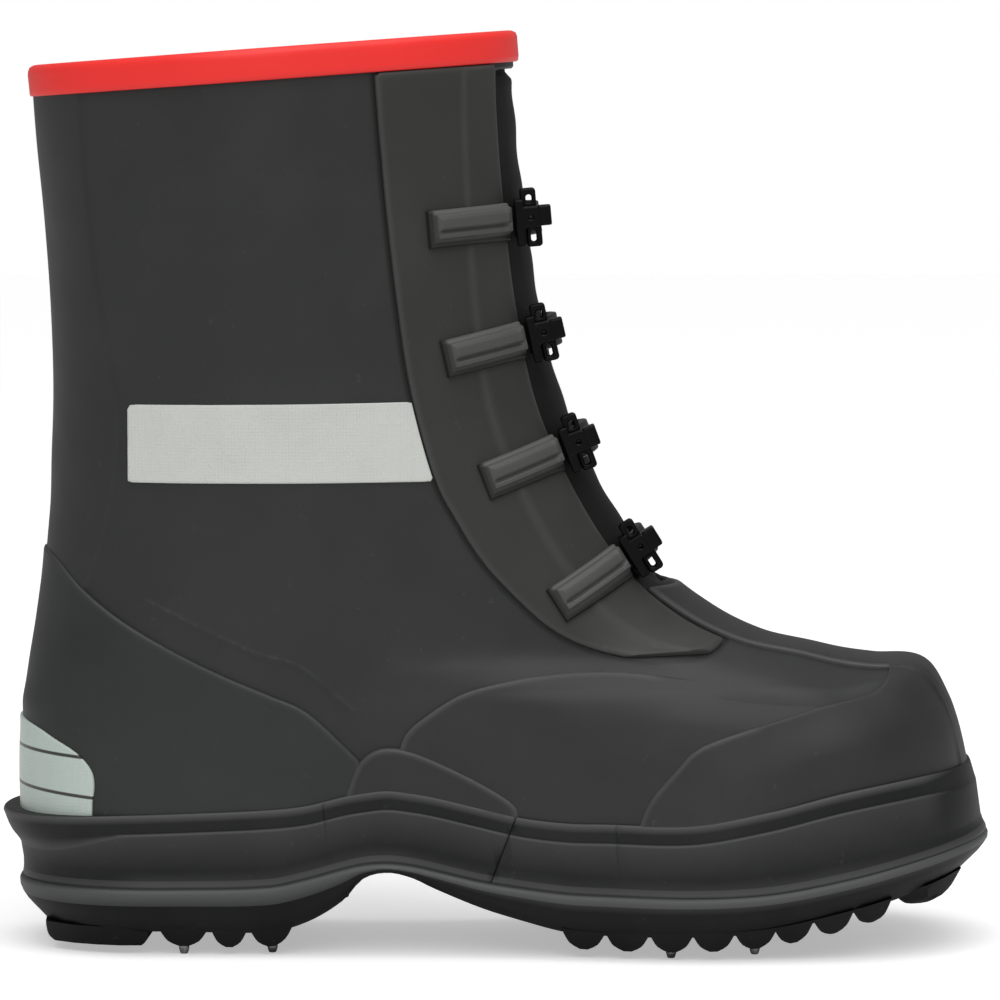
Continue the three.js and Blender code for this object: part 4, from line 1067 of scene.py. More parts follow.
def cap_relief(places, faces, values, lift):
    """The strip shows through the cap, whose edge is flush with it and with the crest beside it."""
    places, faces, values, across, shows = strip_edge(places, faces, values)
    lift = edge_height(values, TOE_CAP) + (STRIP_RIDGE * ease(0, 0.7, across) + groove(across)) * shows
    low = 0.5 + (PANEL - 0.5) * ease(-0.4, 0.4, across)
    crest = low + (lift - low) * ease(0, CREST_RUN, values)
    along = on_skin(places)[:, 0]
    flush = np.maximum(ease(*FLUSH_BESIDE, across), 0.85 * ease(*FLUSH_ALONG, along))
    # Where the edge lies flush, its painted highlight fades out.
    return places, faces, np.maximum(values, 6 * flush), GAP + lift + (crest - lift) * flush


def build_toe():
    def strip_field(places, points):
        return np.minimum(in_strip(places), (OPENING_FOOT - 0.12 - places[:, 0]) * 20)

    panel("toe_cap_rubber", patch((0.8, 8.2), (-0.5, 0.5)), laid_down_to_foxing(cap_outline), TOE_CAP,
          PANEL_RUBBER, "toe_cap", relief=cap_relief)
    panel("toe_strip_rubber", patch((4, OPENING_FOOT), (-0.25, 0.25), 0.05, 0.004), strip_field, PANEL,
          PANEL_RUBBER, "toe_strip", relief=strip_relief)


ON_PANEL = GAP + PANEL + GAP
FILM_LEVELS = (0.0, 0.15, 0.4)


def build_reflectors():
    def side_field(places, points):
        clear = -inside(facing_outline, xz(points)) - 2 * GAP
        return np.minimum(inside(side_reflector_outline, xz(points)), clear)

    panel("side_reflector_film", patch((9, 15), (-0.98, -0.1), 0.06, 0.008), side_field, REFLECTOR,
          SIDE_FILM, "side_reflector", levels=FILM_LEVELS, slot="reflective_film")
    panel("heel_reflector_film", patch((1.0, 8), (0.6, 1.4), 0.06, 0.005),
          laid_down_to_foxing(heel_reflector_outline, -1), REFLECTOR, HEEL_FILM, "heel_reflector",
          base=ON_PANEL, levels=FILM_LEVELS, slot="reflective_film", sunk=0.45, flexes=False)


# Foxing, binding, insole and gusset

def loft(loops, wrap_rings=True):
    """Closed loops of points joined in order into a shell."""
    rings, count = loops.shape[:2]
    i = np.arange(rings if wrap_rings else rings - 1)[:, None] * count
    j = np.arange(count)[None]
    k = (j + 1) % count
    below = (i + count) % (rings * count)
    quads = np.stack([i + j, i + k, below + k, below + j], axis=-1).reshape(-1, 4)
    return loops.reshape(-1, 3), quads


def strip_cap(ring, count):
    """Closes a ring that mirrors about its first point with strips across."""
    start = ring * count
    faces = [[start, start + 1, start + count - 1]]
    for j in range(1, count // 2):
        a, b = start + j, start + j + 1
        c, d = start + count - j - 1, start + count - j
        faces.append([a, b, d] if b == c else [a, b, c, d])
    return faces


def outward(obj):
    """Turns a closed piece's faces outwards."""
    mesh = bmesh.new()
    mesh.from_mesh(obj.data)
    bmesh.ops.recalc_face_normals(mesh, faces=mesh.faces)
    mesh.to_mesh(obj.data)
    mesh.free()


def level_ring(s, height, lift):
    """A ring round the skin at heights that depend on the place along the shoe."""
    rows = np.linspace(0, 6, 121)
    points = read_net(NET, *np.meshgrid(rows, s, indexing="ij"))
    over = points[..., 2] - height(points[..., 0])
    ring = skin(np.array([np.interp(0, column, rows) for column in over.T]), s, lift)
    ring[:, 2] = height(ring[:, 0])
    return ring


def foot_line(x):
    return deck(x) + GAP


def foxing_line(x):
    return sole_line("foxing", x)


def step_line(x):
    return foxing_line(x) - STEP_HEIGHT


def heel_ledge(x):
    """Share of the kick ledge at places along the shoe."""
    return ease(-0.36, -0.46, x / LENGTH)


# Faint butt joints of the foxing, as places along the shoe
FOXING_JOINTS = (-57, 40)
JOINT_HALF = 0.5
JOINT_DEPTH = 0.3
# Lifts that let the foxing's step run out at the front of the toe
FRONT_LIFTS = {7: 3.2, 8: 3.15, 9: 3.1, 10: 3.05, 11: 2.95, 12: 2.75, 13: 2.6, 14: 2.5}
# Rings of the foxing's profile painted with a highlight along a moulded edge, and their distance from it
FOXING_PAINTED_HIGHLIGHT = (
    (2, 0.9), (3, 0.7), (4, 1.3), (6, 2.2), (7, 1.2), (8, 0.5), (9, 1.0), (10, 2.2), (12, 2.2),
    (13, 0.3), (14, 0.1), (15, 0.6),
)
STEP_RINGS = slice(7, 14)


def places_along(s):
    """Where columns of the skin stand along the shoe, at the foxing's height."""
    return read_net(NET, np.full(len(s), 2.0), s)[:, 0]


def foxing_columns(count=420):
    """Even columns round the shoe, with three more at every butt joint on either side."""
    columns = [even_columns(count)]
    for side in (-1, 1):
        s = np.linspace(0, side, 2001)
        for joint in FOXING_JOINTS:
            across = [-joint - JOINT_HALF, -joint, -joint + JOINT_HALF]
            columns.append(np.interp(across, -places_along(s), s))
    return np.unique(np.concatenate(columns))


def foxing_profile(ledge):
    """Rings as a line of the sole, the rise over it, the drop at the ledge and the lift off the skin."""
    face = GAP + FOXING
    flare = FLARE * (1 - ledge / 2)
    back = face - FOXING_STEP * (1 - ledge)
    kick = KICK_LEDGE * ledge
    wedge = back + kick
    return [
        (foot_line, 0.0, 0.0, -0.6),
        (foot_line, -0.9, 0.0, face + flare),
        (foot_line, -0.3, 0.0, face + flare + 0.25),
        (foot_line, 0.4, 0.0, face + flare + 0.1),
        (foot_line, FLARE_HEIGHT * 0.45, 0.0, face + flare * 0.55),
        (foot_line, FLARE_HEIGHT, 0.0, face + 0.1),
        (foot_line, FLARE_HEIGHT + 1, 0.0, face),
        (step_line, -0.9, LEDGE_SLOPE, face),
        (step_line, -0.3, LEDGE_SLOPE, face - 0.08),
        (step_line, 0.1, LEDGE_SLOPE * 0.8, face - 0.35 * (1 - ledge) + kick * 0.1),
        (step_line, 0.35, LEDGE_SLOPE * 0.3, back + kick * 0.5),
        (step_line, 1.0, 0.0, back + kick * 0.7),
        (step_line, 3.5, 0.0, back + kick * 0.86),
        (foxing_line, -0.9, 0.0, wedge),
        (foxing_line, -0.3, 0.0, wedge - 0.2),
        (foxing_line, -0.02, 0.0, wedge - 0.6),
        (foxing_line, 0.0, 0.0, face - 2.4),
        (foxing_line, 0.0, 0.0, -0.6),
    ]


def foxing_loops():
    """The foxing's rings, how far each column is at the front of the toe, and where its joints are."""
    s = foxing_columns()
    along = places_along(s)
    front = ease(0.42, 0.475, along / LENGTH)
    joint = np.min([np.abs(along - place) for place in FOXING_JOINTS], axis=0) < 0.1
    loops = []
    for ring, (line, rise, drop, lift) in enumerate(foxing_profile(heel_ledge(along))):
        lift = np.broadcast_to(lift, s.shape)
        if ring in FRONT_LIFTS:
            lift = lift + (FRONT_LIFTS[ring] - lift) * front - JOINT_DEPTH * joint
        loops.append(level_ring(s, lambda x: line(x) + rise - drop * heel_ledge(x), lift))
    return np.stack(loops, axis=1), front, joint


def build_foxing():
    """The band as one ring, cut in two along a slanted joint on either side."""
    loops, front, joint = foxing_loops()
    points, quads = loft(loops)
    edge = np.full(loops.shape[:2], NO_EDGE)
    for ring, distance in FOXING_PAINTED_HIGHLIGHT:
        edge[:, ring] = distance + (front * 2.5 if ring > 6 else 0)
    # Painted shade in the shallow grooves of the butt joints, on the step's rings.
    painted_shade = np.zeros(loops.shape[:2])
    painted_shade[:, STEP_RINGS] = 0.35 * joint[:, None]
    marks = {"edge": edge.ravel(), "painted_shade": painted_shade.ravel()}
    low = np.array([x_of(0.495), 0, z_of(0.08)]) + SHIFT
    high = np.array([x_of(0.526), 0, z_of(0.17)]) + SHIFT
    normal = Vector((high[2] - low[2], 0, low[0] - high[0])).normalized()
    for name, side in (("foxing_rear", 1), ("foxing_front", -1)):
        obj = piece(name + "_rubber", points, quads, [SOLE_RUBBER], [name], "sole_rubber",
                    sharp=40, marks=marks)
        mesh = bmesh.new()
        mesh.from_mesh(obj.data)
        cut = bmesh.ops.bisect_plane(
            mesh, geom=mesh.verts[:] + mesh.edges[:] + mesh.faces[:], clear_outer=True,
            plane_co=Vector(low * MM) - normal * side * GAP / 2 * MM, plane_no=normal * side,
        )
        rim = [g for g in cut["geom_cut"] if isinstance(g, bmesh.types.BMEdge)]
        bmesh.ops.holes_fill(mesh, edges=rim)
        bmesh.ops.recalc_face_normals(mesh, faces=mesh.faces)
        mesh.to_mesh(obj.data)
        mesh.free()


def build_binding():
    s = even_columns(360)
    outer = GAP + BINDING
    inner = -WALL - GAP - BINDING
    top = GAP + BINDING
    profile = [
        (BAND, 0, -0.3), (BAND, 0, outer - 0.5), (BAND, 0.5, outer), (BAND, 2.0, outer + 0.12),
        (TOP, -1.6, outer + 0.05), (TOP, -0.2, outer - 0.05), (TOP, top * 0.6, outer - 0.55),
        (TOP, top, (outer * 2 + inner) / 3), (TOP, top * 1.05, (outer + inner) / 2),
        (TOP, top, (outer + inner * 2) / 3), (TOP, top * 0.6, inner + 0.55), (TOP, -0.2, inner + 0.05),
        (BAND, 0.5, inner), (BAND, 0, inner + 0.4), (BAND, 0, -WALL + 0.3),
    ]
    loops = []
    for t, rise, lift in profile:
        points = skin(np.full(len(s), float(t)), s, lift)
        points[:, 2] += rise
        loops.append(points)
    points, quads = loft(np.stack(loops, axis=1))
    outward(piece("collar_binding_rubber", points, quads, [RED_RUBBER], ["collar_binding"], "red_rubber",
                  sharp=60))


def build_insole():
    s = even_columns(220)
    profile = [(0.0, -0.2), (0.0, 0.0), (INSOLE - 0.8, 0.0), (INSOLE - 0.2, -0.3), (INSOLE, -1.2)]
    loops = np.stack([
        level_ring(s, lambda x: foot_line(x) + height, -WALL - GAP + inset) for height, inset in profile
    ])
    points, quads = loft(loops, wrap_rings=False)
    faces = quads.tolist() + strip_cap(0, len(s)) + strip_cap(len(profile) - 1, len(s))
    outward(piece("insole_felt", points, faces, [FELT], ["insole"], "felt"))


# Folds of the gusset: places across as shares of the opening's half width, and how far they swell out
GUSSET_FOLD = table(
    ["across", "swell"],
    [
        [-1.28, 0], [-1.04, 0], [-0.88, 0.35], [-0.6, 0.95], [-0.16, 0.9], [0, 0.15],
        [0.16, 0.9], [0.6, 0.95], [0.88, 0.35], [1.04, 0], [1.28, 0],
    ],
)


def front_places(rows, across):
    """Columns of the skin at distances across from the front line, row by row."""
    s = np.linspace(-0.35, 0.35, 701)
    found = []
    for row, goal in zip(rows, across):
        line = read_net(NET, np.full(len(s), row), s)[:, 1]
        found.append(np.interp(goal, np.maximum.accumulate(line - np.interp(0, s, line)), s))
    return np.array(found)


def build_gusset():
    rows = np.linspace(OPENING_FOOT - 0.3, BAND - 0.04, 120)
    across = np.linspace(GUSSET_FOLD["across"][0], GUSSET_FOLD["across"][-1], 91)
    fold = curve(GUSSET_FOLD["across"], GUSSET_FOLD["swell"])(across)
    t = np.repeat(rows, len(across))
    s = front_places(rows, across[None] * slot_half(rows)[:, None]).ravel()
    shows = ease(OPENING_FOOT + 0.05, OPENING_FOOT + 0.5, rows) * ease(BAND - 0.12, BAND - 0.28, rows)
    pleats = 0.35 * np.sin(rows * 9.0)[:, None] * np.exp(-(across[None] / 0.5) ** 2)
    depth = -WALL - GAP * 1.8 + (fold[None] * (WALL + GAP) + pleats) * shows[:, None]
    outer = skin(t, s, depth.ravel())
    inner = skin(t, s, depth.ravel() - GUSSET)
    points, faces = thicken(outer, inner, grid_faces(len(rows), len(across)))
    piece("gusset_rubber", points, faces, [PAINTED_SHADE_GUSSET], ["gusset"], "upper_rubber")


# Outsole

def plan_ring(s, out, share, rise):
    """The sole's outline in plan, moved out, at a share of the way from the rim to the underside."""
    row = np.ones(len(s))
    here = read_net(NET, row, s)
    across = read_net(NET, row, s + 0.01) - read_net(NET, row, s - 0.01)
    normal = np.stack([across[:, 1], -across[:, 0]], axis=1)
    normal = normal / np.linalg.norm(normal, axis=1, keepdims=True)
    reach = out - HEEL_RIM_INSET * np.maximum(-normal[:, 0], 0) ** 2
    x = here[:, 0] + normal[:, 0] * reach
    rim = sole_line("rim", x)
    height = rim + (sole_line("under", x) - rim) * share + rise
    return np.column_stack([x, here[:, 1] + normal[:, 1] * reach, height])


def sole_base():
    """The sole without its lugs, and how far its points are from a moulded edge that carries a painted
    highlight.
    """
    s = even_columns(400, gather=0.3)
    profile = [
        (RIM_REACH - 2.0, 0, DECK_RISE), (RIM_REACH - 0.9, 0, 1.2), (RIM_REACH - 0.3, 0, 0.6),
        (RIM_REACH, 0, 0), (RIM_REACH - 0.1, 0.15, 0), (RIM_REACH - 1.0, 0.31, 0),
        (RIM_REACH - 2.4, 0.47, 0), (RIM_REACH - 4.2, 0.62, 0), (RIM_REACH - 6.3, 0.78, 0),
        (RIM_REACH - 8.2, 0.93, 0), (-3.4, 1, 0), (-5.4, 1, -0.05),
    ]
    loops = np.stack([plan_ring(s, *ring) for ring in profile])
    points, quads = loft(loops, wrap_rings=False)
    faces = quads.tolist() + strip_cap(0, len(s)) + strip_cap(len(profile) - 1, len(s))
    edge = np.full(loops.shape[:2], NO_EDGE)
    edge[1:6] = np.array([1.6, 0.8, 0.2, 0.9, 2.0])[:, None]
    return points, faces, edge.ravel()


def footprint_side(x, side):
    """Where the sole's outline lies across at a place along it."""
    s = np.linspace(0, 0.999, 500) * side
    line = read_net(NET, np.ones(len(s)), s)
    return np.interp(-x, -line[:, 0], line[:, 1])


def lug_tree():
    """Geometry nodes: a tapered, softened block on every point, sized by the point."""
    tree = bpy.data.node_groups.new("lug field", "GeometryNodeTree")
    work = functools.partial(arithmetic, tree)
    tree.interface.new_socket("Geometry", in_out="INPUT", socket_type="NodeSocketGeometry")
    for label, value in (("Tip", LUG_TIP), ("Curve", 1.1), ("Round", 2.0)):
        made = tree.interface.new_socket(label, in_out="INPUT", socket_type="NodeSocketFloat")
        made.default_value = value
    tree.interface.new_socket("Material", in_out="INPUT", socket_type="NodeSocketMaterial")
    tree.interface.new_socket("Geometry", in_out="OUTPUT", socket_type="NodeSocketGeometry")
    start = tree.nodes.new("NodeGroupInput").outputs
    end = tree.nodes.new("NodeGroupOutput").inputs
    block = add_node(tree, "GeometryNodeMeshCube", {
        "Size": (1, 1, 1), "Vertices X": 5, "Vertices Y": 6, "Vertices Z": 8,
    })
    place = tree.nodes.new("GeometryNodeInputPosition").outputs["Position"]
    axes = add_node(tree, "ShaderNodeSeparateXYZ", {"Vector": place}).outputs
    down = work("SUBTRACT", 0.5, axes["Z"])
    taper = work("MULTIPLY", work("POWER", down, start["Curve"]), work("SUBTRACT", 1.0, start["Tip"]))
    low = work("MAXIMUM", work("SUBTRACT", down, 0.6), 0.0)
    rounding = work("MULTIPLY", work("MULTIPLY", low, low), start["Round"])
    narrow = work("SUBTRACT", work("SUBTRACT", 1.0, taper), rounding)
    corner = work("MULTIPLY", work("ABSOLUTE", axes["X"]), work("ABSOLUTE", axes["Y"]))
    pinch = work("SUBTRACT", 1.0, work("MULTIPLY", corner, 0.35))
    wide = work("ADD", 0.6, work("MULTIPLY", narrow, 0.4))
    x = work("MULTIPLY", work("MULTIPLY", axes["X"], narrow), pinch)
    y = work("MULTIPLY", work("MULTIPLY", axes["Y"], wide), pinch)
    shape = add_node(tree, "ShaderNodeCombineXYZ", {"X": x, "Y": y, "Z": axes["Z"]}).outputs["Vector"]
    tapered = add_node(tree, "GeometryNodeSetPosition", {
        "Geometry": block.outputs["Mesh"], "Position": shape,
    })
    size = add_node(tree, "GeometryNodeInputNamedAttribute", {"Name": "size"}, data_type="FLOAT_VECTOR")
    spread = add_node(tree, "GeometryNodeInstanceOnPoints", {
        "Points": start["Geometry"], "Instance": tapered.outputs["Geometry"],
        "Scale": size.outputs["Attribute"],
    })
    real = add_node(tree, "GeometryNodeRealizeInstances", {"Geometry": spread.outputs["Instances"]})
    done = add_node(tree, "GeometryNodeSetMaterial", {
        "Geometry": real.outputs["Geometry"], "Material": start["Material"],
    })
    tree.links.new(done.outputs["Geometry"], end["Geometry"])
    return tree


LUGS = lug_tree()


def grown(name, points, sizes, **inputs):
    """The plain mesh that the lug tree grows on points, in millimetres."""
    mesh = bpy.data.meshes.new(name)
    mesh.from_pydata(np.asarray(points, float), [], [])
    layer = mesh.attributes.new("size", "FLOAT_VECTOR", "POINT")
    layer.data.foreach_set("vector", np.asarray(sizes, np.float32).ravel())
    holder = bpy.data.objects.new(name, mesh)
    bpy.context.scene.collection.objects.link(holder)
    modifier = holder.modifiers.new("grow", "NODES")
    modifier.node_group = LUGS
    inputs["Material"] = TREAD_RUBBER
    for item in LUGS.interface.items_tree:
        if item.in_out == "INPUT" and item.name in inputs:
            modifier[item.identifier] = inputs[item.name]
    bpy.context.view_layer.update()
    graph = bpy.context.evaluated_depsgraph_get()
    made = bpy.data.meshes.new_from_object(holder.evaluated_get(graph))
    vertices = np.array([v.co for v in made.vertices])
    faces = [list(p.vertices) for p in made.polygons]
    bpy.data.objects.remove(holder)
    return vertices, faces


def joined(solids):
    """Solids as one list of points and one of faces."""
    points, faces = np.empty((0, 3)), []
    for more, more_faces in solids:
        faces = faces + [[v + len(points) for v in f] for f in more_faces]
        points = np.vstack([points, more])
    return points, faces


def lug_field():
    """Every lug of the sole and its heel block, kept within the sole's footprint."""
    height = LUG_DEPTH + DECK_RISE
    centres, sizes = [], []
    for row, (_, length, across) in enumerate(LUG_ROWS):
        for lug in range(across):
            x, y, width = lug_centre(row, lug)
            centres.append((x, y, sole_line("under", x) + DECK_RISE - height / 2))
            sizes.append((length * LENGTH * 1.15, width * 1.05, height))
    lugs, faces = grown("lugs", centres, sizes, Tip=LUG_TIP)
    middles = np.repeat([centre[0] for centre in centres], len(lugs) // len(centres))
    lugs[:, 2] += sole_line("under", lugs[:, 0]) - sole_line("under", middles)
    x = x_of(sum(HEEL_BLOCK) / 2)
    block = grown(
        "heel block", [(x, -0.5, sole_line("under", x) + DECK_RISE - height / 2)],
        [((HEEL_BLOCK[1] - HEEL_BLOCK[0]) * LENGTH + 2, 0.74 * BALL_WIDTH, height)],
        Tip=0.92, Curve=2.0, Round=0.4,
    )
    points, faces = joined([(lugs, faces), block])
    rise = (points[:, 2] - FLOOR) / (sole_line("rim", points[:, 0]) - FLOOR)
    reach = -5 + (RIM_REACH + 2.8) * rise - 0.6
    for side, nearer in ((-1, np.maximum), (1, np.minimum)):
        points[:, 1] = nearer(points[:, 1], footprint_side(points[:, 0], side) + side * reach)
    return points, faces


def waist_ribs():
    """Low ribs across the underside of the arch."""
    centres, sizes = [], []
    for x in np.arange(x_of(0.33), x_of(0.555), 6.4):
        low, high = (footprint_side(x, side) - 6 * side for side in (-1, 1))
        centres.append((x, (low + high) / 2, sole_line("under", x) - 0.1))
        sizes.append((3.4, high - low, 2.4))
    return grown("ribs", centres, sizes, Tip=0.55)


# The band under the rim that takes the lighter rim material, painted as lit, as a share of the sole's
# height, behind and before a place in the arch
RIM_NARROWS = -40
RIM_SHARES = (0.3, 0.2)


def build_outsole():
    base, base_faces, edge = sole_base()
    points, faces = joined([(base, base_faces), lug_field(), waist_ribs()])
    edge = np.r_[edge, np.full(len(points) - len(base), NO_EDGE)]
    obj = piece("outsole_rubber", points, faces, [PAINTED_LIGHT_RIM_MATERIAL, TREAD_RUBBER], ["outsole"], "sole_rubber",
                sharp=38, marks={"edge": edge})
    # Faces of the band under the rim take the lighter rim material, painted as lit; the rest take the tread
    # rubber.
    index = np.ones(len(obj.data.polygons), np.int32)
    count = len(base_faces)
    centres = np.array([p.center for p in obj.data.polygons[:count]]) / MM - SHIFT
    rim, under = (sole_line(name, centres[:, 0]) for name in ("rim", "under"))
    share = np.where(centres[:, 0] < RIM_NARROWS, *RIM_SHARES)
    index[:count] = centres[:, 2] < rim - share * (rim - under)
    obj.data.polygons.foreach_set("material_index", index)
    outward(obj)


def build_studs():
    places = [lug_centre(row, lug)[:2] for row, lug in LUG_STUDS]
    places += [(x_of(sum(HEEL_BLOCK) / 2), share * BALL_WIDTH) for share in HEEL_STUDS]
    turns = np.linspace(0, 2 * math.pi, 24, endpoint=False)
    for number, (x, y) in enumerate(places, 1):
        root = sole_line("under", x) - LUG_DEPTH + STUD_SEAT
        tip = root - STUD_SEAT - STUD_REACH
        tip = FLOOR if tip - FLOOR < STUD_LEVEL else tip
        profile = [
            (tip, 0.55), (tip + 0.12, 0.68), (tip + 0.5, 0.8), (tip + 1.5, 0.97),
            (tip + 1.7, 1.0), (tip + 2.6, 1.0), (root, 1.0),
        ]
        loops = np.array([
            [(x + STUD_RADIUS * r * math.cos(a), y + STUD_RADIUS * r * math.sin(a), z) for a in turns]
            for z, r in profile
        ])
        points, quads = loft(loops, wrap_rings=False)
        corners = list(range(len(points)))
        faces = quads.tolist() + [corners[:len(turns)][::-1], corners[-len(turns):]]
        outward(piece(f"stud_{number}_steel", points, faces, [STEEL], [f"stud_{number}"], "stud_steel"))


# Buckles

# Section of the upper at which the search for a buckle's places starts
START_ROW = 12.0


def locate(points_at, goal, s, rounds=14):
    """Places on the skin where two measures of the point reach their goals."""
    t, s = np.full(len(goal), START_ROW), np.array(s, float)
    for _ in range(rounds):
        here = points_at(t, s)
        up = (points_at(t + 0.02, s) - here) / 0.02
        side = (points_at(t, s + 0.002) - here) / 0.002
        miss = goal - here
        area = up[..., 0] * side[..., 1] - up[..., 1] * side[..., 0]
        t = np.clip(t + (miss[..., 0] * side[..., 1] - miss[..., 1] * side[..., 0]) / area, 6, TOP)
        s = s + np.clip((up[..., 0] * miss[..., 1] - up[..., 1] * miss[..., 0]) / area, -0.1, 0.1)
    return t, s


def buckle_axes(along, up, tilt):
    """Head of a buckle in the side view, and its directions forwards and across."""
    angle = math.radians(tilt)
    forwards = np.array([math.cos(angle), math.sin(angle)])
    return np.array([x_of(along), z_of(up)]), forwards, np.array([-forwards[1], forwards[0]])


def tab_height(a, b, edge):
    """Relief of a tab: a flat base, two raised ribs and a welt at its ends."""
    base = edge_height(edge, TAB_THICKNESS, radius=0.9, foot=0.2)
    inner = np.minimum.reduce([TAB_WIDTH * 0.37 - np.abs(b - 0.7), a + TAB_LENGTH - 1.4, -a - 0.4])
    ridge = TAB_THICKNESS * 0.8 * ease(0.0, 0.9, inner)
    swell = 0.8 * np.sqrt(np.clip(1 - ((b - 2.2) / 2.6) ** 2, 0, 1)) * ease(0.5, 2.5, inner)
    hollow = np.exp(-((b + 0.9) / 0.6) ** 2) * ease(0.8, 2.5, inner)
    welt = 0.35 * ease(3.4, 2.6, -a) * ease(0.2, 0.9, inner)
    return base + ridge + swell - hollow + welt


def build_tab(number, buckle, side):
    head, forwards, across = buckle_axes(*buckle)
    even = np.linspace(0, 1, 64)
    gathered = 0.5 * (1 - np.cos(math.pi * even))
    lengths = -TAB_LENGTH + TAB_LENGTH * (0.5 * gathered + 0.5 * even)
    places, faces = place_grid(lengths, np.linspace(-TAB_WIDTH / 2, TAB_WIDTH / 2, 40))
    a, b = places.T
    goal = head + a[:, None] * forwards + b[:, None] * across
    top = ON_PANEL + TAB_THICKNESS
    t, s = locate(lambda t, s: xz(skin(t, s, top)), goal, np.full(len(goal), side * 0.2))
    edge = np.minimum.reduce([TAB_WIDTH / 2 - np.abs(b), a + TAB_LENGTH, -a])
    outer = skin(t, s, ON_PANEL - GAP * 0.5 + tab_height(a, b, edge))
    inner = skin(t, s, GAP + PANEL - 0.3)
    points, faces = thicken(outer, inner, faces[:, ::-1] if side < 0 else faces)
    # Painted shade on the tab's lower side and back end, where it stands off the facing; its edge distances
    # also paint a highlight along its rim.
    painted_shade = ease(2.9, 1.2, np.minimum(b + TAB_WIDTH / 2, a + TAB_LENGTH + 0.3))
    name = f"buckle_tab_{'outer' if side < 0 else 'inner'}_{number}"
    outward(piece(name + "_rubber", points, faces, [TAB_RUBBER], [name], "facing_rubber",
                  marks={"edge": np.r_[edge, edge], "painted_shade": np.r_[painted_shade, painted_shade]}))


def rounded_box(a, b, centre_a, centre_b, half_a, half_b, radius):
    """Distance within a box with round corners, drawn flat."""
    qa = np.abs(a - centre_a) - half_a + radius
    qb = np.abs(b - centre_b) - half_b + radius
    return radius - np.hypot(np.maximum(qa, 0), np.maximum(qb, 0)) - np.minimum(np.maximum(qa, qb), 0)


LADDER_REACH = 32.0


def ladder_field(a, b):
    """Distance inside a ladder strap with slots, drawn flat."""
    slots = [
        -rounded_box(a, b, (k - 0.25) * LADDER_PITCH, 0, LADDER_SLOT / 2, LADDER_WIDTH * 0.28, 0.8)
        for k in (-1, 0, 1, 2)
    ]
    return np.minimum.reduce([LADDER_WIDTH / 2 - np.abs(b), *slots])


def build_ladder(number, buckle):
    head, forwards, across = buckle_axes(*buckle)
    widths = np.linspace(-LADDER_WIDTH / 2, LADDER_WIDTH / 2, 34)
    strap, faces = place_grid(np.linspace(-LADDER_REACH, LADDER_REACH, 150), widths)

    def measures(t, s):
        points = skin(t, s, ON_PANEL)
        middle = read_net(NET, t, np.zeros(len(t)))[:, 1]
        return np.column_stack([points[:, 1] - middle, (xz(points) - head) @ across])

    def field(where):
        ahead = (xz(on_skin(where, ON_PANEL)) - head) @ forwards - 2 * GAP
        return np.minimum(ladder_field(where[:, 2], where[:, 3]), ahead)

    t, s = locate(measures, strap, strap[:, 0] / 260.0)
    places, faces, edge = cut_out(np.column_stack([t, s, strap]), faces, field, (0.0, 0.2, 0.6))
    low = ON_PANEL - GAP * 0.5
    outer = on_skin(places, low + edge_height(edge, LADDER_THICKNESS, radius=0.6, foot=0.6))
    points, faces = thicken(outer, on_skin(places, low), faces)
    name = f"buckle_ladder_{number}"
    # The edge distances paint a faint highlight along the ladder's edges.
    outward(piece(name + "_rubber", points, faces, [BUCKLE_RUBBER], [name], "buckle_rubber",
                  marks={"edge": np.r_[edge, edge]}))


TOGGLE_LIFT = 0.07
TOGGLE_ROUND = 0.8
# Layers of the toggle: its blocks, their eyes and the width across the shoe. Blocks and eyes say
# where they are forwards and up, half their length and height, and their corners' radius, as
# shares of the tab's width.
TOGGLE_LAYERS = [
    (
        [(-0.37, -0.13, 0.135, 0.62, 0.06), (-0.11, 0.0, 0.27, 0.3, 0.12), (0.29, 0.02, 0.175, 0.27, 0.05)],
        [(-0.08, 0.0, 0.05, 0.05, 0.05)],
        TOGGLE_WIDTH,
    ),
    (
        [(-0.12, 0.51, 0.215, 0.265, 0.1), (-0.03, -0.5, 0.21, 0.29, 0.1)],
        [(-0.1, 0.5, 0.075, 0.1, 0.07), (-0.05, -0.5, 0.07, 0.15, 0.06)],
        TOGGLE_WIDTH * 0.6,
    ),
]


def toggle_plate(blocks, eyes, width, step=0.022):
    """A flat plate with rounded rims: places in shares, triangles and half its thickness there."""
    def field(where):
        solids = [rounded_box(where[:, 0], where[:, 1], *block) for block in blocks]
        holes = [-rounded_box(where[:, 0], where[:, 1], *eye) for eye in eyes]
        return np.minimum.reduce([np.maximum.reduce(solids), *holes]) * TAB_WIDTH

    places, faces = place_grid(np.arange(-0.75, 0.75, step), np.arange(-0.95, 0.95, step))
    places, faces, edge = cut_out(places, faces, field, (0.0, 0.15, 0.45, 0.9))
    half = width / 2 - TOGGLE_ROUND + edge_height(edge, TOGGLE_ROUND, radius=0.9, foot=0.0)
    return places, faces, half


def build_toggle(number, buckle):
    head, forwards, across = buckle_axes(*buckle)
    low, high = (np.array(corner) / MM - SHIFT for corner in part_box(f"buckle_toggle_{number}"))
    middle = (low[1] + high[1]) / 2
    solids = []
    for layer in TOGGLE_LAYERS:
        places, faces, half = toggle_plate(*layer)
        flat = head + (TOGGLE_REACH + places[:, :1] * TAB_WIDTH) * forwards
        flat = flat + (places[:, 1:2] + TOGGLE_LIFT) * TAB_WIDTH * across
        near, far = (np.column_stack([flat[:, 0], y, flat[:, 1]]) for y in (middle - half, middle + half))
        solids.append(thicken(near, far, faces))
    name = f"buckle_toggle_{number}"
    outward(piece(name + "_rubber", *joined(solids), [BUCKLE_RUBBER], [name], "buckle_rubber", sharp=45))


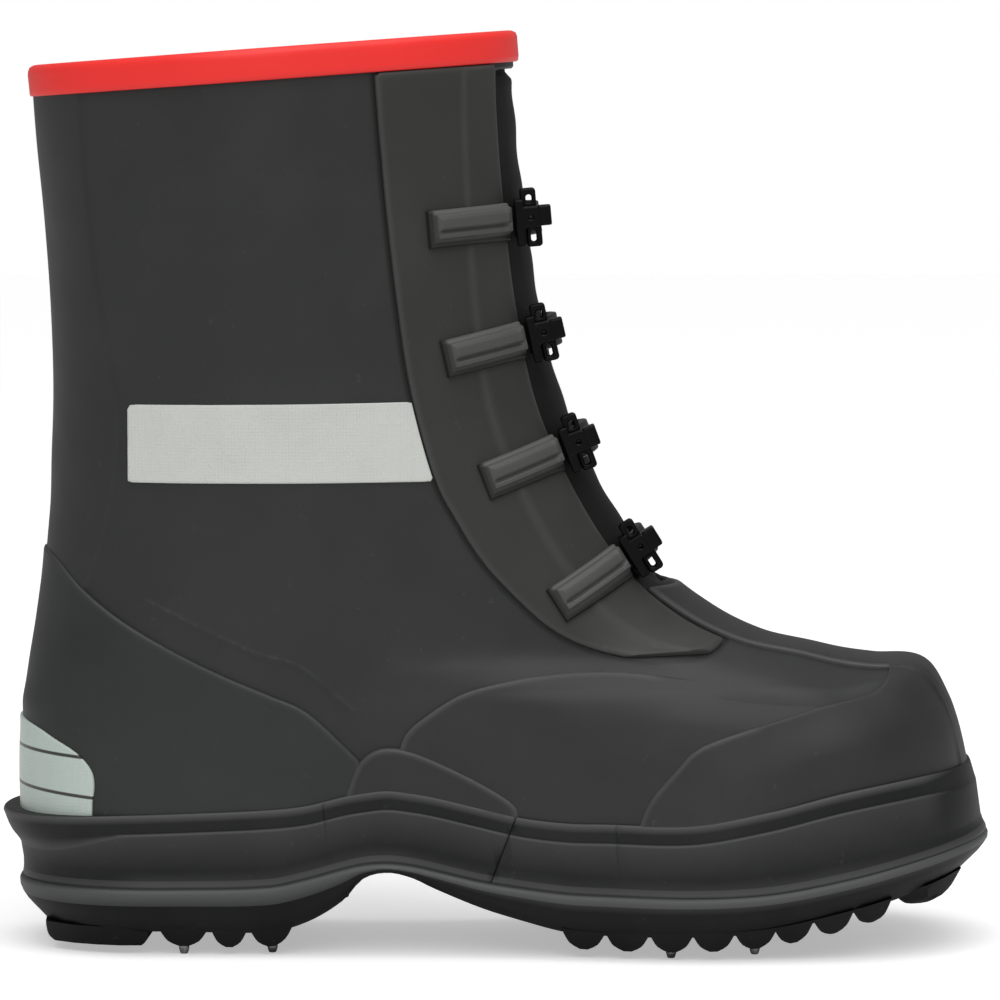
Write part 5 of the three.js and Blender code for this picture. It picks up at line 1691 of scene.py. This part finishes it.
# Studio: the photograph is square, its middle and scale are in its pixels
PHOTO_HALF = 500
PHOTO_CENTRE = (494, 52)
PHOTO_SCALE = 0.3374
CAMERA_AWAY = 2000
FLOOR_HALF = 6.0
# Lamps: place and aim in metres, size of an area light or 0 for a sun, and power
LAMPS = (
    ("key", (0.0, -0.8, 1.0), (0, 0, 0), 0, 1.6),
    ("top", (0.2, 0.0, 1.9), (0.05, 0, 0.1), 1.6, 11),
)


def floor_sheet():
    mesh = bpy.data.meshes.new("floor")
    corners = [(x * FLOOR_HALF, y * FLOOR_HALF, 0) for x, y in ((-1, -1), (1, -1), (1, 1), (-1, 1))]
    mesh.from_pydata(corners, [], [(0, 1, 2, 3)])
    floor = bpy.data.objects.new("floor", mesh)
    bpy.context.scene.collection.objects.link(floor)
    material, tree, shader = new_material("pale floor")
    shader["Base Color"].default_value = (0.9, 0.9, 0.9, 1)
    shader["Roughness"].default_value = 0.7
    looked_at = add_node(tree, "ShaderNodeLightPath").outputs["Is Camera Ray"]
    plug(tree, shader["Emission Strength"], ramp(tree, looked_at, 0.0, 1.0, 0.0, 0.42))
    shader["Emission Color"].default_value = (1, 1, 1, 1)
    mesh.materials.append(material)


def studio():
    """White surroundings that light softly, a sun from the camera's side and a large lamp above."""
    floor_sheet()
    world = bpy.data.worlds.new("studio")
    world.use_nodes = True
    tree = world.node_tree
    background = tree.nodes["Background"].inputs
    background["Color"].default_value = (1, 1, 1, 1)
    seen = add_node(tree, "ShaderNodeLightPath").outputs["Is Camera Ray"]
    tree.links.new(ramp(tree, seen, 0.0, 1.0, 0.27, 1.0), background["Strength"])
    bpy.context.scene.world = world
    bpy.context.scene.view_settings.view_transform = "Standard"
    for name, place, aim, size, power in LAMPS:
        light = bpy.data.lights.new(name, "AREA" if size else "SUN")
        if size:
            light.size = size
        else:
            light.angle = math.radians(60)
        light.energy = power
        lamp = bpy.data.objects.new(name, light)
        lamp.location = place
        lamp.rotation_euler = (Vector(aim) - Vector(place)).to_track_quat("-Z", "Y").to_euler()
        bpy.context.scene.collection.objects.link(lamp)


def camera():
    """The photograph's view: level with the collar, from the outer side."""
    data = bpy.data.cameras.new("view")
    eye = bpy.data.objects.new("view", data)
    bpy.context.scene.collection.objects.link(eye)
    place = np.array([0, -CAMERA_AWAY, COLLAR_HEIGHT]) + SHIFT
    right, down = ((PHOTO_HALF - centre) * PHOTO_SCALE for centre in PHOTO_CENTRE)
    aim = np.array([right, 0, COLLAR_HEIGHT - down]) + SHIFT
    eye.location = Vector(place) * MM
    eye.rotation_euler = Vector(aim - place).to_track_quat("-Z", "Y").to_euler()
    half = PHOTO_HALF * PHOTO_SCALE / float(np.linalg.norm(aim - place))
    data.lens = data.sensor_width / 2 / half
    data.clip_end = 20
    bpy.context.scene.camera = eye


def make_shoe():
    build_upper()
    build_gusset()
    build_facings()
    build_counter()
    build_vamp()
    build_toe()
    build_reflectors()
    build_foxing()
    build_binding()
    build_insole()
    build_outsole()
    build_studs()
    for number, buckle in enumerate(BUCKLES, 1):
        for side in (-1, 1):
            build_tab(number, buckle, side)
        build_ladder(number, buckle)
        build_toggle(number, buckle)


camera()
studio()
make_shoe()
